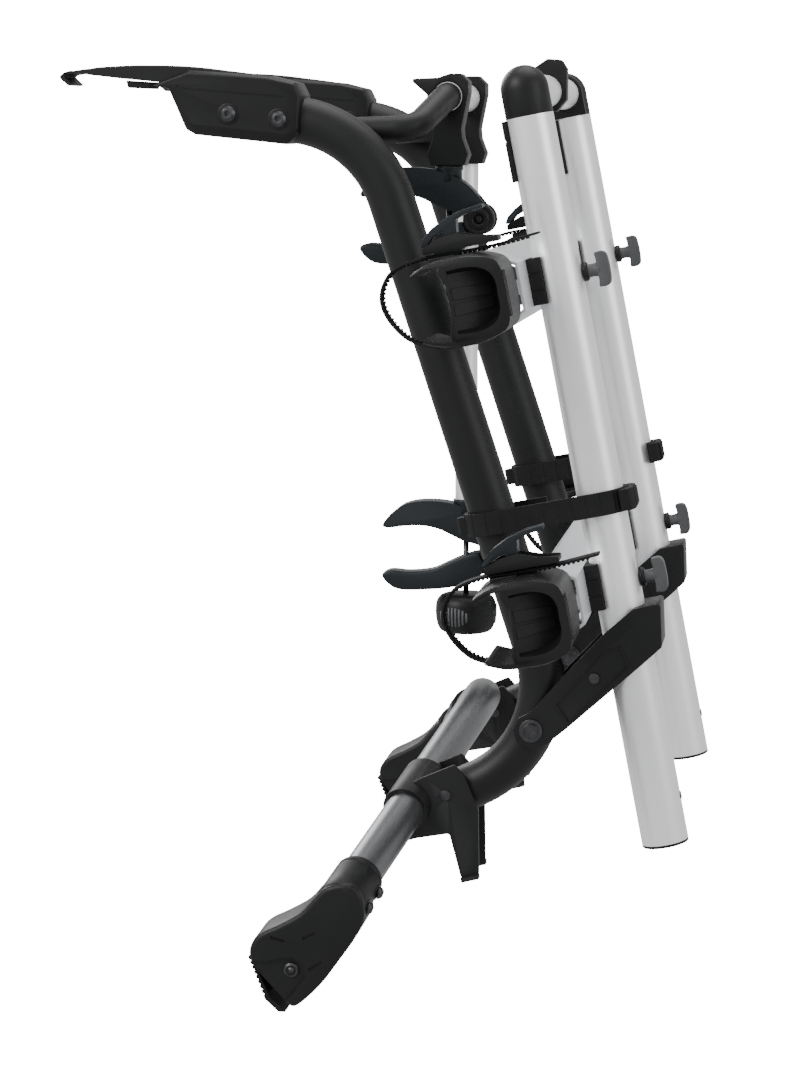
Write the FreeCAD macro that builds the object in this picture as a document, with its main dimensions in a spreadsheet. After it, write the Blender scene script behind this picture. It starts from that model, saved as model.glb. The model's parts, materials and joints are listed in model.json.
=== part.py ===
import FreeCAD, Part

import math
import os

import Sketcher

# A folding two-bicycle carrier in its folded, stored position.
# Axes: +X points away from the car, +Y across the car, +Z up; millimetres.
# Origin: the fold axis, midway between the two main tubes.

SIZES = {
    "tube_spacing": 420,
    "main_dia": 46,
    "main_wall": 2.5,
    "bend_radius": 114,
    "lower_arc": 43.9,
    "upper_arc": 39.6,
    "top_arc": 65.2,
    "main_run": 466,
    "top_run": 92,
    "foot_run": 31,
    "pivot_lean": 21.4,
    "pivot_dia": 12,
    "run_gap": 0.05,
    "tray_dia": 46.8,
    "tray_wall": 2,
    "tray_foot": 110,
    "tray_lean": 11.1,
    "tray_tail": 115,
    "tray_top": 612.6,
    "upper_rail": 454.6,
    "lower_rail": 149.8,
    "rail_half": 307,
    "rail_back": 27.4,
    "rail_depth": 29,
    "rail_base": 46,
    "rail_mouth": 75,
    "rail_wall": 2.4,
    "stud_dia": 8,
    "slot_travel": 20,
    "cup_inner": 236,
    "cup_outer": 400,
    "cheek_gap": 49,
    "cheek_wall": 4.5,
    "bar_dia": 39,
    "bar_wall": 2.5,
    "bar_arc": 21,
    "bar_radius": 218,
    "bar_leg": 335,
    "bar_drop": 55.6,
    "bar_x": -80,
    "bar_z": -18,
    "hoop_dia": 27,
    "sleeve_dia": 30,
    "sleeve_half": 104,
    "hold_x": -103,
    "hold_z": 621,
    "pole_dia": 24,
    "short_y": -85,
    "long_y": 60,
    "short_jaw": 498,
    "long_jaw": 138,
    "claw_width": 25,
    "pad_width": 58,
    "band_low": 219,
    "band_high": 242,
    "band_wall": 4.2,
}

doc = FreeCAD.newDocument("bike_carrier")
sheet = doc.addObject("Spreadsheet::Sheet", "sizes")
for row, (alias, value) in enumerate(SIZES.items(), 1):
    sheet.set("A%d" % row, alias)
    sheet.set("B%d" % row, str(value))
    sheet.setAlias("B%d" % row, alias)
doc.recompute()

NODES = []
V = FreeCAD.Vector
ACROSS = V(0, 1, 0)
SQUARE_ON = FreeCAD.Rotation()


def size(alias):
    return float(sheet.get(alias))


def value_of(entry):
    """A plain number, or the value of an expression on the sheet."""
    if isinstance(entry, str):
        return float(sheet.evalExpression(entry))
    return float(entry)


# ---- frames -------------------------------------------------------------

HALF = size("tube_spacing") / 2
TRAY_TURN = FreeCAD.Rotation(ACROSS, -size("tray_lean"))
TRAY = FreeCAD.Placement(V(size("tray_foot"), 0, 0), TRAY_TURN)


def in_tray(y=0.0):
    """The platform's own frame: local X away from the tube, local Z along it."""
    return FreeCAD.Placement(V(size("tray_foot"), y, 0), TRAY_TURN)


def tray_point(u, y, along):
    return TRAY.multVec(V(u, y, along))


# ---- document helpers ---------------------------------------------------

def keep(feature, node, placement=None):
    """Register a finished sub-part under its node name."""
    feature.Label = node
    if placement is not None:
        feature.Placement = placement
    NODES.append(feature)
    return feature


def new_body(name):
    return doc.addObject("PartDesign::Body", name + "_body")


def new_sketch(body, role, name):
    sketch = body.newObject("Sketcher::SketchObject", name)
    for plane in body.Origin.OriginFeatures:
        if plane.Role == role:
            sketch.AttachmentSupport = [(plane, "")]
    sketch.MapMode = "FlatFace"
    return sketch


def bind(sketch, constraint, entry):
    index = sketch.addConstraint(constraint)
    if isinstance(entry, str):
        sketch.setExpression("Constraints[%d]" % index, bound(entry))
    return index


def bound(entry):
    """The same expression with every alias written as a cell of the sheet."""
    words = []
    word = ""
    for letter in entry + " ":
        if letter.isalnum() or letter == "_":
            word += letter
        else:
            words.append("sizes." + word if word in SIZES else word)
            words.append(letter)
            word = ""
    return "".join(words).strip()


def outline(sketch, corners):
    """A closed polygon whose corners are tied to the sketch's origin."""
    points = [V(value_of(x), value_of(y), 0) for x, y in corners]
    count = len(points)
    for i in range(count):
        sketch.addGeometry(Part.LineSegment(points[i], points[(i + 1) % count]), False)
    for i in range(count):
        sketch.addConstraint(Sketcher.Constraint("Coincident", i, 2, (i + 1) % count, 1))
    for i, (x, y) in enumerate(corners):
        across = Sketcher.Constraint("DistanceX", -1, 1, i, 1, points[i].x)
        bind(sketch, across, x)
        upward = Sketcher.Constraint("DistanceY", -1, 1, i, 1, points[i].y)
        bind(sketch, upward, y)
    return sketch


def circle(sketch, x, y, radius):
    centre = V(value_of(x), value_of(y), 0)
    index = sketch.addGeometry(Part.Circle(centre, V(0, 0, 1), value_of(radius)), False)
    bind(sketch, Sketcher.Constraint("DistanceX", -1, 1, index, 3, centre.x), x)
    bind(sketch, Sketcher.Constraint("DistanceY", -1, 1, index, 3, centre.y), y)
    bind(sketch, Sketcher.Constraint("Radius", index, value_of(radius)), radius)


def pad(body, sketch, length, both=False):
    feature = body.newObject("PartDesign::Pad", "pad")
    feature.Profile = sketch
    feature.Length = value_of(length)
    if isinstance(length, str):
        feature.setExpression("Length", bound(length))
    feature.Midplane = both
    doc.recompute()
    return feature


def pocket(body, sketch, length, both=False, reverse=False):
    before = body.Shape.Volume
    feature = body.newObject("PartDesign::Pocket", "pocket")
    feature.Profile = sketch
    feature.Length = value_of(length)
    if isinstance(length, str):
        feature.setExpression("Length", bound(length))
    feature.Midplane = both
    feature.Reversed = reverse
    doc.recompute()
    if body.Shape.Volume >= before:
        raise RuntimeError("the pocket in %s removes nothing" % body.Name)
    return feature


def round_edges(body, chosen, radius):
    """Fillet the edges of the body's tip that pass the test."""
    base = body.Tip
    names = []
    for i, edge in enumerate(base.Shape.Edges, 1):
        if chosen(edge):
            names.append("Edge%d" % i)
    feature = body.newObject("PartDesign::Fillet", "rounding")
    feature.Base = (base, names)
    feature.Radius = radius
    doc.recompute()
    if "Invalid" in feature.State or feature.Shape.isNull():
        raise RuntimeError("a rounding failed in %s" % body.Name)
    return feature


def runs_along(edge, axis):
    if not isinstance(edge.Curve, Part.Line):
        return False
    return abs(edge.Curve.Direction.dot(axis)) > 0.999


def solid_feature(node, shape, placement=None):
    """A sub-part whose shape is worked out in code from the sheet."""
    feature = doc.addObject("Part::Feature", node)
    feature.Shape = shape
    return keep(feature, node, placement)


def polygon_prism(corners, axis, low, high):
    """A prism through corners in the plane square to axis ("y" or "z" or "x")."""
    spots = {
        "x": lambda a, b: V(low, a, b),
        "y": lambda a, b: V(a, low, b),
        "z": lambda a, b: V(a, b, low),
    }
    reach = {"x": V(high - low, 0, 0), "y": V(0, high - low, 0), "z": V(0, 0, high - low)}
    points = [spots[axis](a, b) for a, b in corners]
    return Part.Face(Part.makePolygon(points + points[:1])).extrude(reach[axis])


def rod(centre, axis, radius, length):
    """A cylinder centred on a point."""
    way = V(axis).normalize()
    return Part.makeCylinder(radius, length, centre - way * (length / 2), way)


def soften(shape, radius, test=None):
    """Round the straight edges that pass the test, leaving the shape as it was if OCC refuses."""
    edges = [e for e in shape.Edges if test is None or test(e)]
    try:
        rounded = shape.makeFillet(radius, edges)
        if rounded.isValid() and rounded.Volume > 0:
            return rounded
    except Part.OCCError:
        pass
    return shape


def along_axis(axis):
    return lambda edge: runs_along(edge, axis)


def mirrored(shape):
    return shape.mirror(V(0, 0, 0), ACROSS)


# ---- bent tubes ---------------------------------------------------------

def bent_path(body, name, turn, pieces):
    """A planar centre line from the origin, heading along local +Z or -Z.

    Each piece is ("arc", radius alias, angle alias) or ("run", length alias);
    turn is +1 when the arcs swing the line towards local +X.
    """
    sketch = new_sketch(body, "XZ_Plane", name)
    spot = V(0, 0, 0)
    way = V(0, 1 if pieces[0] == "up" else -1, 0)
    side = V(turn, 0, 0)
    for piece in pieces[1:]:
        if piece[0] == "arc":
            radius = size(piece[1])
            swing = size(piece[2])
            centre = spot + side * radius
            half_way = point_on_arc(centre, radius, side, way, swing / 2)
            end = point_on_arc(centre, radius, side, way, swing)
            index = sketch.addGeometry(Part.Arc(spot, half_way, end), False)
            bind(sketch, Sketcher.Constraint("Radius", index, radius), piece[1])
            angle = math.radians(swing)
            new_way = way * math.cos(angle) + side * math.sin(angle)
            side = side * math.cos(angle) - way * math.sin(angle)
            way = new_way
            spot = end
        else:
            length = size(piece[1])
            end = spot + way * length
            index = sketch.addGeometry(Part.LineSegment(spot, end), False)
            bind(sketch, Sketcher.Constraint("Distance", index, length), piece[1])
            spot = end
    return sketch


def point_on_arc(centre, radius, side, way, swing):
    angle = math.radians(swing)
    return centre - side * (radius * math.cos(angle)) + way * (radius * math.sin(angle))


def tube_along(body, path, outer, wall):
    ring = new_sketch(body, "XY_Plane", "ring")
    circle(ring, 0, 0, outer + " / 2")
    circle(ring, 0, 0, "%s / 2 - %s" % (outer, wall))
    pipe = body.newObject("PartDesign::AdditivePipe", "pipe")
    pipe.Profile = ring
    pipe.Spine = (path, ["Edge%d" % (i + 1) for i in range(path.GeometryCount)])
    doc.recompute()
    return pipe


def main_tube(node, side):
    """A bent upright: hook end on top, fold pivot in its lower bend."""
    body = new_body(node)
    up = ("up", ("arc", "bend_radius", "upper_arc"), ("run", "main_run"),
          ("arc", "bend_radius", "top_arc"), ("run", "top_run"))
    down = ("down", ("arc", "bend_radius", "lower_arc"), ("run", "foot_run"))
    tube_along(body, bent_path(body, "upper_line", -1, up), "main_dia", "main_wall")
    tube_along(body, bent_path(body, "lower_line", -1, down), "main_dia", "main_wall")
    bore = new_sketch(body, "XZ_Plane", "pivot_bore")
    circle(bore, 0, 0, "pivot_dia / 2 + run_gap")
    pocket(body, bore, "main_dia + 4", both=True)
    lean = FreeCAD.Rotation(ACROSS, size("pivot_lean"))
    keep(body, node, FreeCAD.Placement(V(0, side * HALF, 0), lean))
    body.setExpression(".Placement.Base.y", bound("%d * tube_spacing / 2" % side))
    return body


def foot_bar():
    """The arched cross bar whose drooping ends carry the feet."""
    body = new_body("foot_bar")
    for heading in ("up", "down"):
        leg = (heading, ("arc", "bar_radius", "bar_arc"), ("run", "bar_leg"))
        tube_along(body, bent_path(body, heading + "_line", 1, leg), "bar_dia", "bar_wall")
    droop = math.radians(size("bar_drop"))
    down = V(-math.cos(droop), 0, -math.sin(droop))
    turn = FreeCAD.Rotation(down, ACROSS.cross(down), ACROSS, "ZXY")
    keep(body, "foot_bar", FreeCAD.Placement(V(size("bar_x"), 0, size("bar_z")), turn))
    return body


def bar_spot(reach):
    """A point on the foot bar's axis at a distance across from the middle, and its heading."""
    arc = math.radians(size("bar_arc"))
    radius = size("bar_radius")
    droop = math.radians(size("bar_drop"))
    down = V(-math.cos(droop), 0, -math.sin(droop))
    start = radius * math.sin(arc)
    fall = radius * (1 - math.cos(arc)) + (abs(reach) - start) * math.tan(arc)
    side = 1 if reach > 0 else -1
    heading = ACROSS * (side * math.cos(arc)) + down * math.sin(arc)
    centre = V(size("bar_x"), reach, size("bar_z")) + down * fall
    return centre, heading


def swept_tube(corners, bend, radius):
    """A round bar through corner points, with an arc of one radius at each corner."""
    edges = []
    start = corners[0]
    for before, here, after in zip(corners, corners[1:], corners[2:]):
        back = (before - here).normalize()
        on = (after - here).normalize()
        half = back.getAngle(on) / 2
        cut = bend / math.tan(half)
        middle = here + (back + on).normalize() * (bend / math.sin(half) - bend)
        edges.append(Part.makeLine(start, here + back * cut))
        edges.append(Part.Arc(here + back * cut, middle, here + on * cut).toShape())
        start = here + on * cut
    edges.append(Part.makeLine(start, corners[-1]))
    way = corners[1] - corners[0]
    ring = Part.Wire(Part.makeCircle(radius, corners[0], way))
    return Part.Wire(edges).makePipeShell([ring], True, False)


# ---- the frame's head ---------------------------------------------------

def upper_hoop():
    """A black hoop welded between the main tubes; its middle carries the holder arms."""
    x, z = size("hold_x"), size("hold_z")
    leg_z = z - 32
    flat = size("sleeve_half") - 4
    leg_y = HALF - size("main_dia") / 2 - size("hoop_dia") / 2 + 1.5
    left = [V(x - 95, -leg_y, leg_z - 3), V(x - 22, -leg_y, leg_z), V(x, -flat - 8, z), V(x, 0, z)]
    right = [V(p.x, -p.y, p.z) for p in reversed(left)]
    bar = swept_tube(left[:3] + right[1:], 26, size("hoop_dia") / 2)
    for side in (-1, 1):
        bar = bar.cut(main_envelope(side, size("main_dia") / 2 + 0.02))
    return solid_feature("upper_hoop", largest(bar))


def largest(shape):
    return max(shape.Solids, key=lambda s: s.Volume)


def main_envelope(side, radius):
    """The main tube's outside as one plain solid, used to fit parts around it."""
    lean = math.radians(size("pivot_lean"))
    bend = size("bend_radius")
    up = V(math.sin(lean), 0, math.cos(lean))
    inward = V(-math.cos(lean), 0, math.sin(lean))
    centre = V(0, side * HALF, 0) + inward * bend

    def at(middle, turn):
        angle = math.radians(turn)
        return middle - inward * (bend * math.cos(angle)) + up * (bend * math.sin(angle))

    def way(turn):
        angle = math.radians(turn)
        return up * math.cos(angle) + inward * math.sin(angle)

    low = -size("lower_arc")
    high = size("upper_arc")
    top = high + size("top_arc")
    first = at(centre, high)
    second = first + way(high) * size("main_run")
    upper = second + (centre - first)
    third = at(upper, top)
    edges = [
        Part.makeLine(at(centre, low) - way(low) * size("foot_run"), at(centre, low)),
        Part.Arc(at(centre, low), at(centre, 0), first).toShape(),
        Part.makeLine(first, second),
        Part.Arc(second, at(upper, (high + top) / 2), third).toShape(),
        Part.makeLine(third, third + way(top) * size("top_run")),
    ]
    start = at(centre, low) - way(low) * size("foot_run")
    ring = Part.Wire(Part.makeCircle(radius, start, way(low)))
    return Part.Wire(edges).makePipeShell([ring], True, False)


def holder_sleeve():
    """A bright sleeve on the hoop's middle, on which both arm heads turn."""
    body = new_body("holder_sleeve")
    ring = new_sketch(body, "XZ_Plane", "ring")
    circle(ring, 0, 0, "sleeve_dia / 2")
    circle(ring, 0, 0, "hoop_dia / 2 + run_gap")
    pad(body, ring, "2 * sleeve_half - 10", both=True)
    keep(body, "holder_sleeve", FreeCAD.Placement(V(size("hold_x"), 0, size("hold_z")), SQUARE_ON))
    return body


def housing_corners():
    return [(-377, 631), (-360, 627), (-343, 588), (-334, 583), (-243, 573.5), (-230, 584),
            (-228, 621), (-234, 633), (-262, 640), (-340, 646)]


def hook_housing(node, side):
    """The block bolted over the main tube's upper end, which holds the hook blade."""
    half = size("pad_width") / 2
    low = side * HALF - half
    block = polygon_prism(housing_corners(), "y", low, low + 2 * half)
    block = soften(block, 4, lambda e: not runs_along(e, ACROSS))
    block = block.cut(main_envelope(side, size("main_dia") / 2 + 0.02))
    block = block.cut(blade_shape(side, 0.05))
    for x, z in screw_spots():
        block = block.cut(rod(V(x, side * HALF, z), ACROSS, 4.05, 120))
    return solid_feature(node, largest(block))


def screw_spots():
    return [(-300, 603), (-250, 598)]


def blade_line():
    """The hook blade's upper edge, from its turned-down nose to the housing."""
    return [V(-459, 0, 633), V(-468, 0, 638), V(-462, 0, 644), V(-425, 0, 648), V(-388, 0, 649.5),
            V(-340, 0, 648), V(-288, 0, 642), V(-262, 0, 637)]


def blade_shape(side, grow=0.0):
    """A pressed steel strip hooked at its nose, with two shallow side flanges."""
    width = 46
    top = Part.BSplineCurve()
    top.interpolate(blade_line()[2:])
    thick = 3 + 2 * grow
    edge = top.toShape()
    under = edge.copy()
    under.translate(V(0, 0, -thick))
    ends = [Part.makeLine(edge.Vertexes[0].Point, under.Vertexes[0].Point),
            Part.makeLine(edge.Vertexes[1].Point, under.Vertexes[1].Point)]
    low = side * HALF - width / 2 - grow
    face = Part.Face(Part.Wire(Part.__sortEdges__([edge, under] + ends)))
    face.translate(V(0, low, grow))
    strip = face.extrude(V(0, width + 2 * grow, 0))
    nose = polygon_prism([(-462, 644), (-468, 638), (-470, 632), (-467, 630), (-464, 637),
                          (-459, 641)], "y", low, low + width + 2 * grow)
    flange = polygon_prism([(-448, 643.5), (-440, 638), (-372, 634), (-352, 631), (-290, 627),
                            (-290, 638.2), (-340, 644), (-388, 645.8), (-425, 644.2)],
                           "y", low, low + 3 + grow)
    other = flange.copy()
    other.translate(V(0, width + grow - 3, 0))
    return strip.fuse([nose, flange, other]).removeSplitter()


def hook_blade(node, side):
    return solid_feature(node, largest(blade_shape(side)))


def hook_pads():
    """Rubber blocks under the blades, which rest on the car's edge."""
    pads = []
    for side in (-1, 1):
        corners = [(-404, 635.8), (-402, 628.5), (-380, 627.5), (-378.5, 634.2)]
        block = polygon_prism(corners, "y", side * HALF - 19.5, side * HALF + 19.5)
        pads.append(soften(block, 1.5))
    return solid_feature("hook_pads", Part.makeCompound(pads))


def button_screw(spot, axis, shank, grip, head=8.0, rise=4.5, socket=2.6):
    """A button-head screw: its head sits at spot, its shank runs against axis."""
    way = V(axis).normalize()
    rim = Part.makeCylinder(head, rise * 0.45, spot, way)
    dome = Part.makeCone(head, head * 0.62, rise * 0.55, spot + way * (rise * 0.45), way)
    key = Part.makeCylinder(socket, rise * 0.7, spot + way * (rise * 0.3), way)
    stem = Part.makeCylinder(shank, grip, spot - way * grip, way)
    return rim.fuse([dome, stem]).cut(key).removeSplitter()


def frame_screws():
    """Identical screws: two through each hook housing, two into each foot shoe."""
    screws = []
    half = size("pad_width") / 2
    for side in (-1, 1):
        for x, z in screw_spots():
            spot = V(x, side * (HALF + half) + side * 0.02, z)
            screws.append(button_screw(spot, V(0, side, 0), 4.0, 5.9))
        for reach in SHOE_SCREWS:
            centre, heading = bar_spot(side * reach)
            out = V(0.92, 0, -0.25).normalize()
            out = (out - heading * out.dot(heading)).normalize()
            spot = centre + out * 24.05
            screws.append(button_screw(spot, out, 4.0, 4.4, head=6.0, rise=5.0))
    return solid_feature("frame_screws", Part.makeCompound(screws))


# ---- the frame's foot ---------------------------------------------------

def bracket_corners():
    return [(-139, -72), (-138, -84), (-124, -116), (-114, -113), (-81, -107), (-69, -152),
            (-51, -148), (-52, -82), (-66, -48), (-76, -37), (-108, -51), (-132, -64)]


def lower_bracket(node, side):
    """A folded plate over the main tube's lower end, clamped round the foot bar."""
    half = size("cheek_gap") / 2
    wall = size("cheek_wall")
    centre, heading = bar_spot(side * (HALF + 5))
    cheeks = []
    for face in (-1, 1):
        low = side * HALF + face * (half + wall / 2) - wall / 2
        cheek = polygon_prism(bracket_corners(), "y", low, low + wall)
        cheeks.append(soften(cheek, 3, along_axis(ACROSS)))
        lip_from, lip_to = sorted((side * HALF + face * half, side * HALF + face * (half + wall + 6)))
        lip = polygon_prism([(-69, -151), (-51, -147), (-50.5, -151), (-68, -155.5)], "y",
                            lip_from, lip_to)
        cheeks.append(lip)
    collar = rod(centre, heading, size("bar_dia") / 2 + 4, size("pad_width") + 6)
    back = polygon_prism([(-139, -72), (-138, -84), (-133, -86), (-128, -66)], "y",
                         side * HALF - half, side * HALF + half)
    shape = cheeks[0].fuse(cheeks[1:] + [collar, back])
    bar = rod(centre, heading, size("bar_dia") / 2 + 0.02, 140)
    shape = shape.cut(bar).cut(main_envelope(side, size("main_dia") / 2 + 0.02))
    rivet = rod(V(-85, side * HALF, -68), ACROSS, 3.05, 90)
    return solid_feature(node, largest(shape.cut(rivet)))


def bracket_rivets():
    """One rivet head on each face of each lower bracket."""
    rivets = []
    for side in (-1, 1):
        for face in (-1, 1):
            y = side * HALF + face * (size("cheek_gap") / 2 + size("cheek_wall"))
            way = V(0, face, 0)
            spot = V(-85, y + face * 0.02, -68)
            head = Part.makeCylinder(5.2, 1.6, spot, way)
            shank = Part.makeCylinder(3, size("cheek_wall"), spot - way * size("cheek_wall"), way)
            rivets.append(soften(head, 0.8, lambda e: isinstance(e.Curve, Part.Circle)).fuse(shank))
    return rivets


def fold_pivot_bolts():
    """The two fold pins, through the main tubes and both cheeks of each link."""
    bolts = []
    radius = size("pivot_dia") / 2
    reach = size("cheek_gap") / 2 + size("cheek_wall")
    for side in (-1, 1):
        middle = V(0, side * HALF, 0)
        pin = rod(middle, ACROSS, radius, 2 * (reach + 6))
        shape = pin
        for face in (-1, 1):
            way = V(0, face, 0)
            washer = Part.makeCylinder(11.5, 2, middle + way * (reach + 0.1), way)
            nut = Part.makeCylinder(7.5, 4, middle + way * (reach + 2.1), way)
            shape = shape.fuse([washer, nut])
        bolts.append(shape.removeSplitter())
    return solid_feature("fold_pivot_bolts", Part.makeCompound(bolts + bracket_rivets()))


SHOE_SCREWS = (378, 404)


def pad_hinge(side):
    """The centre of a foot pad's pivot and the across-the-bar axis."""
    return V(-207, side * 392, -199)


def foot_shoe(node, side):
    """The moulded shoe: a sleeve over the bar's end and a fork for the pad's pin."""
    start, heading = bar_spot(side * 366)
    sleeve = Part.makeCylinder(size("bar_dia") / 2 + 4.5, 58, start, heading)
    hinge = pad_hinge(side)
    low, high = side * 394 - 32, side * 394 + 32
    body = polygon_prism([(-176, -118), (-196, -142), (-236, -165), (-247, -178), (-246, -192),
                          (-212, -232), (-203, -236), (-178, -212), (-157, -184), (-136, -150),
                          (-140, -122)], "y", low, high)
    body = soften(body, 7, along_axis(ACROSS))
    shape = sleeve.fuse(body)
    bar = Part.makeCylinder(size("bar_dia") / 2 + 0.02, 92, start - heading * 30, heading)
    shape = shape.cut(bar)
    window = polygon_prism([(-260, -181), (-222, -176), (-196, -187), (-190, -205), (-208, -245),
                            (-260, -245)], "y", side * 392 - 25, side * 392 + 25)
    shape = shape.cut(window)
    shape = shape.cut(rod(hinge, ACROSS, 5 + size("run_gap"), 90))
    for reach in SHOE_SCREWS:
        centre, way = bar_spot(side * reach)
        out = V(0.92, 0, -0.25).normalize()
        out = (out - way * out.dot(way)).normalize()
        flat = Part.makeCylinder(9, 20, centre + out * 24, out)
        seat = Part.makeCylinder(4.05, 10, centre + out * 18, out)
        boss = Part.makeCylinder(8, 8, centre + out * 16, out)
        shape = shape.fuse(boss.cut(bar)).cut(flat).cut(seat)
    return solid_feature(node, largest(shape))


def foot_pad(node, side):
    """The rubber foot on its pin: it tilts to lie flat on the bumper."""
    hinge = pad_hinge(side)
    low, high = side * 392 - 24, side * 392 + 24
    plate = polygon_prism([(-250, -190), (-246, -190), (-229, -229), (-220, -236), (-214, -243),
                           (-221, -243), (-234, -231)], "y", low, high)
    web = polygon_prism([(-248, -193), (-204, -190), (-199, -203), (-233, -228)], "y",
                        side * 392 - 9, side * 392 + 9)
    hub = rod(hinge, ACROSS, 9, 18)
    pin = rod(hinge, ACROSS, 5, 66)
    shape = plate.fuse([web, hub, pin]).removeSplitter()
    return solid_feature(node, largest(shape))


def stow_straps():
    """Rubber bands round main tube and tray tube that keep the platform folded."""
    bands = []
    wall = size("band_wall")
    inner = size("main_dia") / 2 + 1.8
    far = -108
    for side in (-1, 1):
        low, high = size("band_low"), size("band_high")
        outer_loop = stadium(far, 0, inner + wall, low, high)
        inner_loop = stadium(far, 0, inner, low - 1, high + 1)
        ear = Part.makeBox(10, 20, high - low, V(far - inner - wall - 7, -10, low))
        block = Part.makeBox(14, 2 * (inner + wall), high - low, V(20, -inner - wall, low))
        band = outer_loop.fuse([soften(ear, 3), soften(block, 3)]).cut(inner_loop)
        gap = Part.makeBox(74, 30, 60, V(-56, -inner - 16 if side > 0 else inner - 14, low - 20))
        band = largest(band.cut(gap))
        band.Placement = in_tray(side * HALF)
        bands.append(band)
    return solid_feature("stow_straps", Part.makeCompound(bands))


def stadium(first, second, radius, low, high):
    """An upright block with two half-round ends, between two local X positions."""
    middle = Part.makeBox(second - first, 2 * radius, high - low, V(first, -radius, low))
    ends = [Part.makeCylinder(radius, high - low, V(x, 0, low)) for x in (first, second)]
    return middle.fuse(ends).removeSplitter()


# ---- the folding platform -----------------------------------------------

def tray_tube(node, side):
    """A straight aluminium arm with a slot for each rail's clamp stud."""
    body = new_body(node)
    ring = new_sketch(body, "XY_Plane", "ring")
    ring.AttachmentOffset = FreeCAD.Placement(V(0, 0, -size("tray_tail")), SQUARE_ON)
    ring.setExpression(".AttachmentOffset.Base.z", bound("-tray_tail"))
    circle(ring, 0, 0, "tray_dia / 2")
    circle(ring, 0, 0, "tray_dia / 2 - tray_wall")
    pad(body, ring, "tray_tail + tray_top")
    reach = "stud_dia / 2 + 0.2"
    for rail in ("upper_rail", "lower_rail"):
        slot = new_sketch(body, "YZ_Plane", "slot")
        bottom = "%s - (%s)" % (rail, reach)
        top = "%s + %s + slot_travel" % (rail, reach)
        outline(slot, [("-(%s)" % reach, bottom), (reach, bottom), (reach, top),
                       ("-(%s)" % reach, top)])
        pocket(body, slot, "tray_dia + 4", both=True)
    drain = new_sketch(body, "YZ_Plane", "drain")
    circle(drain, 0, "43 - tray_tail", 4)
    pocket(body, drain, "tray_dia", reverse=True)
    return keep(body, node, in_tray(side * HALF))


def tube_caps():
    """Domed top caps with a socket for the cross tube, and plain bottom plugs."""
    caps = []
    radius = size("tray_dia") / 2
    bore = radius - size("tray_wall") - 0.02
    top = size("tray_top")
    tail = -size("tray_tail")
    for side in (-1, 1):
        wall = Part.makeCylinder(radius, 26, V(0, 0, top))
        dome = Part.makeSphere(radius, V(0, 0, top + 26))
        spigot = Part.makeCylinder(bore, 24, V(0, 0, top - 24))
        socket = Part.makeCylinder(20.5, 24, V(0, 0, top + 26), V(0, -side, 0))
        skirt = Part.makeBox(41, 24, 26, V(-20.5, -24 if side > 0 else 0, top))
        cap = wall.fuse([dome, spigot, socket, skirt])
        cross = Part.makeCylinder(size("hoop_dia") / 2 + 3.55, 40, V(0, -side * 12, top + 26),
                                  V(0, -side, 0))
        cap = cap.cut(cross).removeSplitter()
        plug = Part.makeCylinder(radius, 3, V(0, 0, tail - 3.02))
        plug = soften(plug, 1.2, lambda e: e.BoundBox.ZMax < tail - 2.5)
        plug = plug.fuse(Part.makeCylinder(bore, 18, V(0, 0, tail - 0.5)))
        button = Part.makeCylinder(3.9, 3.2, V(radius - 2.4, 0, 43 + tail), V(1, 0, 0))
        for piece in (cap, plug, button):
            piece.Placement = in_tray(side * HALF)
            caps.append(piece)
    return solid_feature("tube_caps", Part.makeCompound(caps))


def cross_tube():
    """The bright tube that joins the two top caps."""
    body = new_body("cross_tube")
    ring = new_sketch(body, "XZ_Plane", "ring")
    circle(ring, 0, 0, "hoop_dia / 2 + 3.5")
    circle(ring, 0, 0, "hoop_dia / 2 + 1.5")
    pad(body, ring, "tube_spacing - 26", both=True)
    spot = tray_point(0, 0, size("tray_top") + 26)
    return keep(body, "cross_tube", FreeCAD.Placement(spot, TRAY_TURN))


def hanger_plate():
    """A pointed plate on the cross tube's middle."""
    body = new_body("hanger_plate")
    shape = new_sketch(body, "XZ_Plane", "outline")
    outline(shape, [(-22, 0), (-16, 22), (2, 34), (16, 33), (22, 24), (22, -8), (12, -20), (-12, -20)])
    pad(body, shape, 20, both=True)
    round_edges(body, along_axis(V(0, 1, 0)), 4)
    bore = new_sketch(body, "XZ_Plane", "bore")
    circle(bore, 0, 0, "hoop_dia / 2 + 3.55")
    pocket(body, bore, 30, both=True)
    spot = tray_point(0, 0, size("tray_top") + 26)
    return keep(body, "hanger_plate", FreeCAD.Placement(spot, SQUARE_ON))


def link_corners():
    return [(-12, 12), (0, 19), (33, 57), (72, 99), (100, 124), (126, 130), (128, 87), (111, 71),
            (72, 36), (33, 1), (16, -13), (0, -19), (-14, -12), (-18, 0)]


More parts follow.
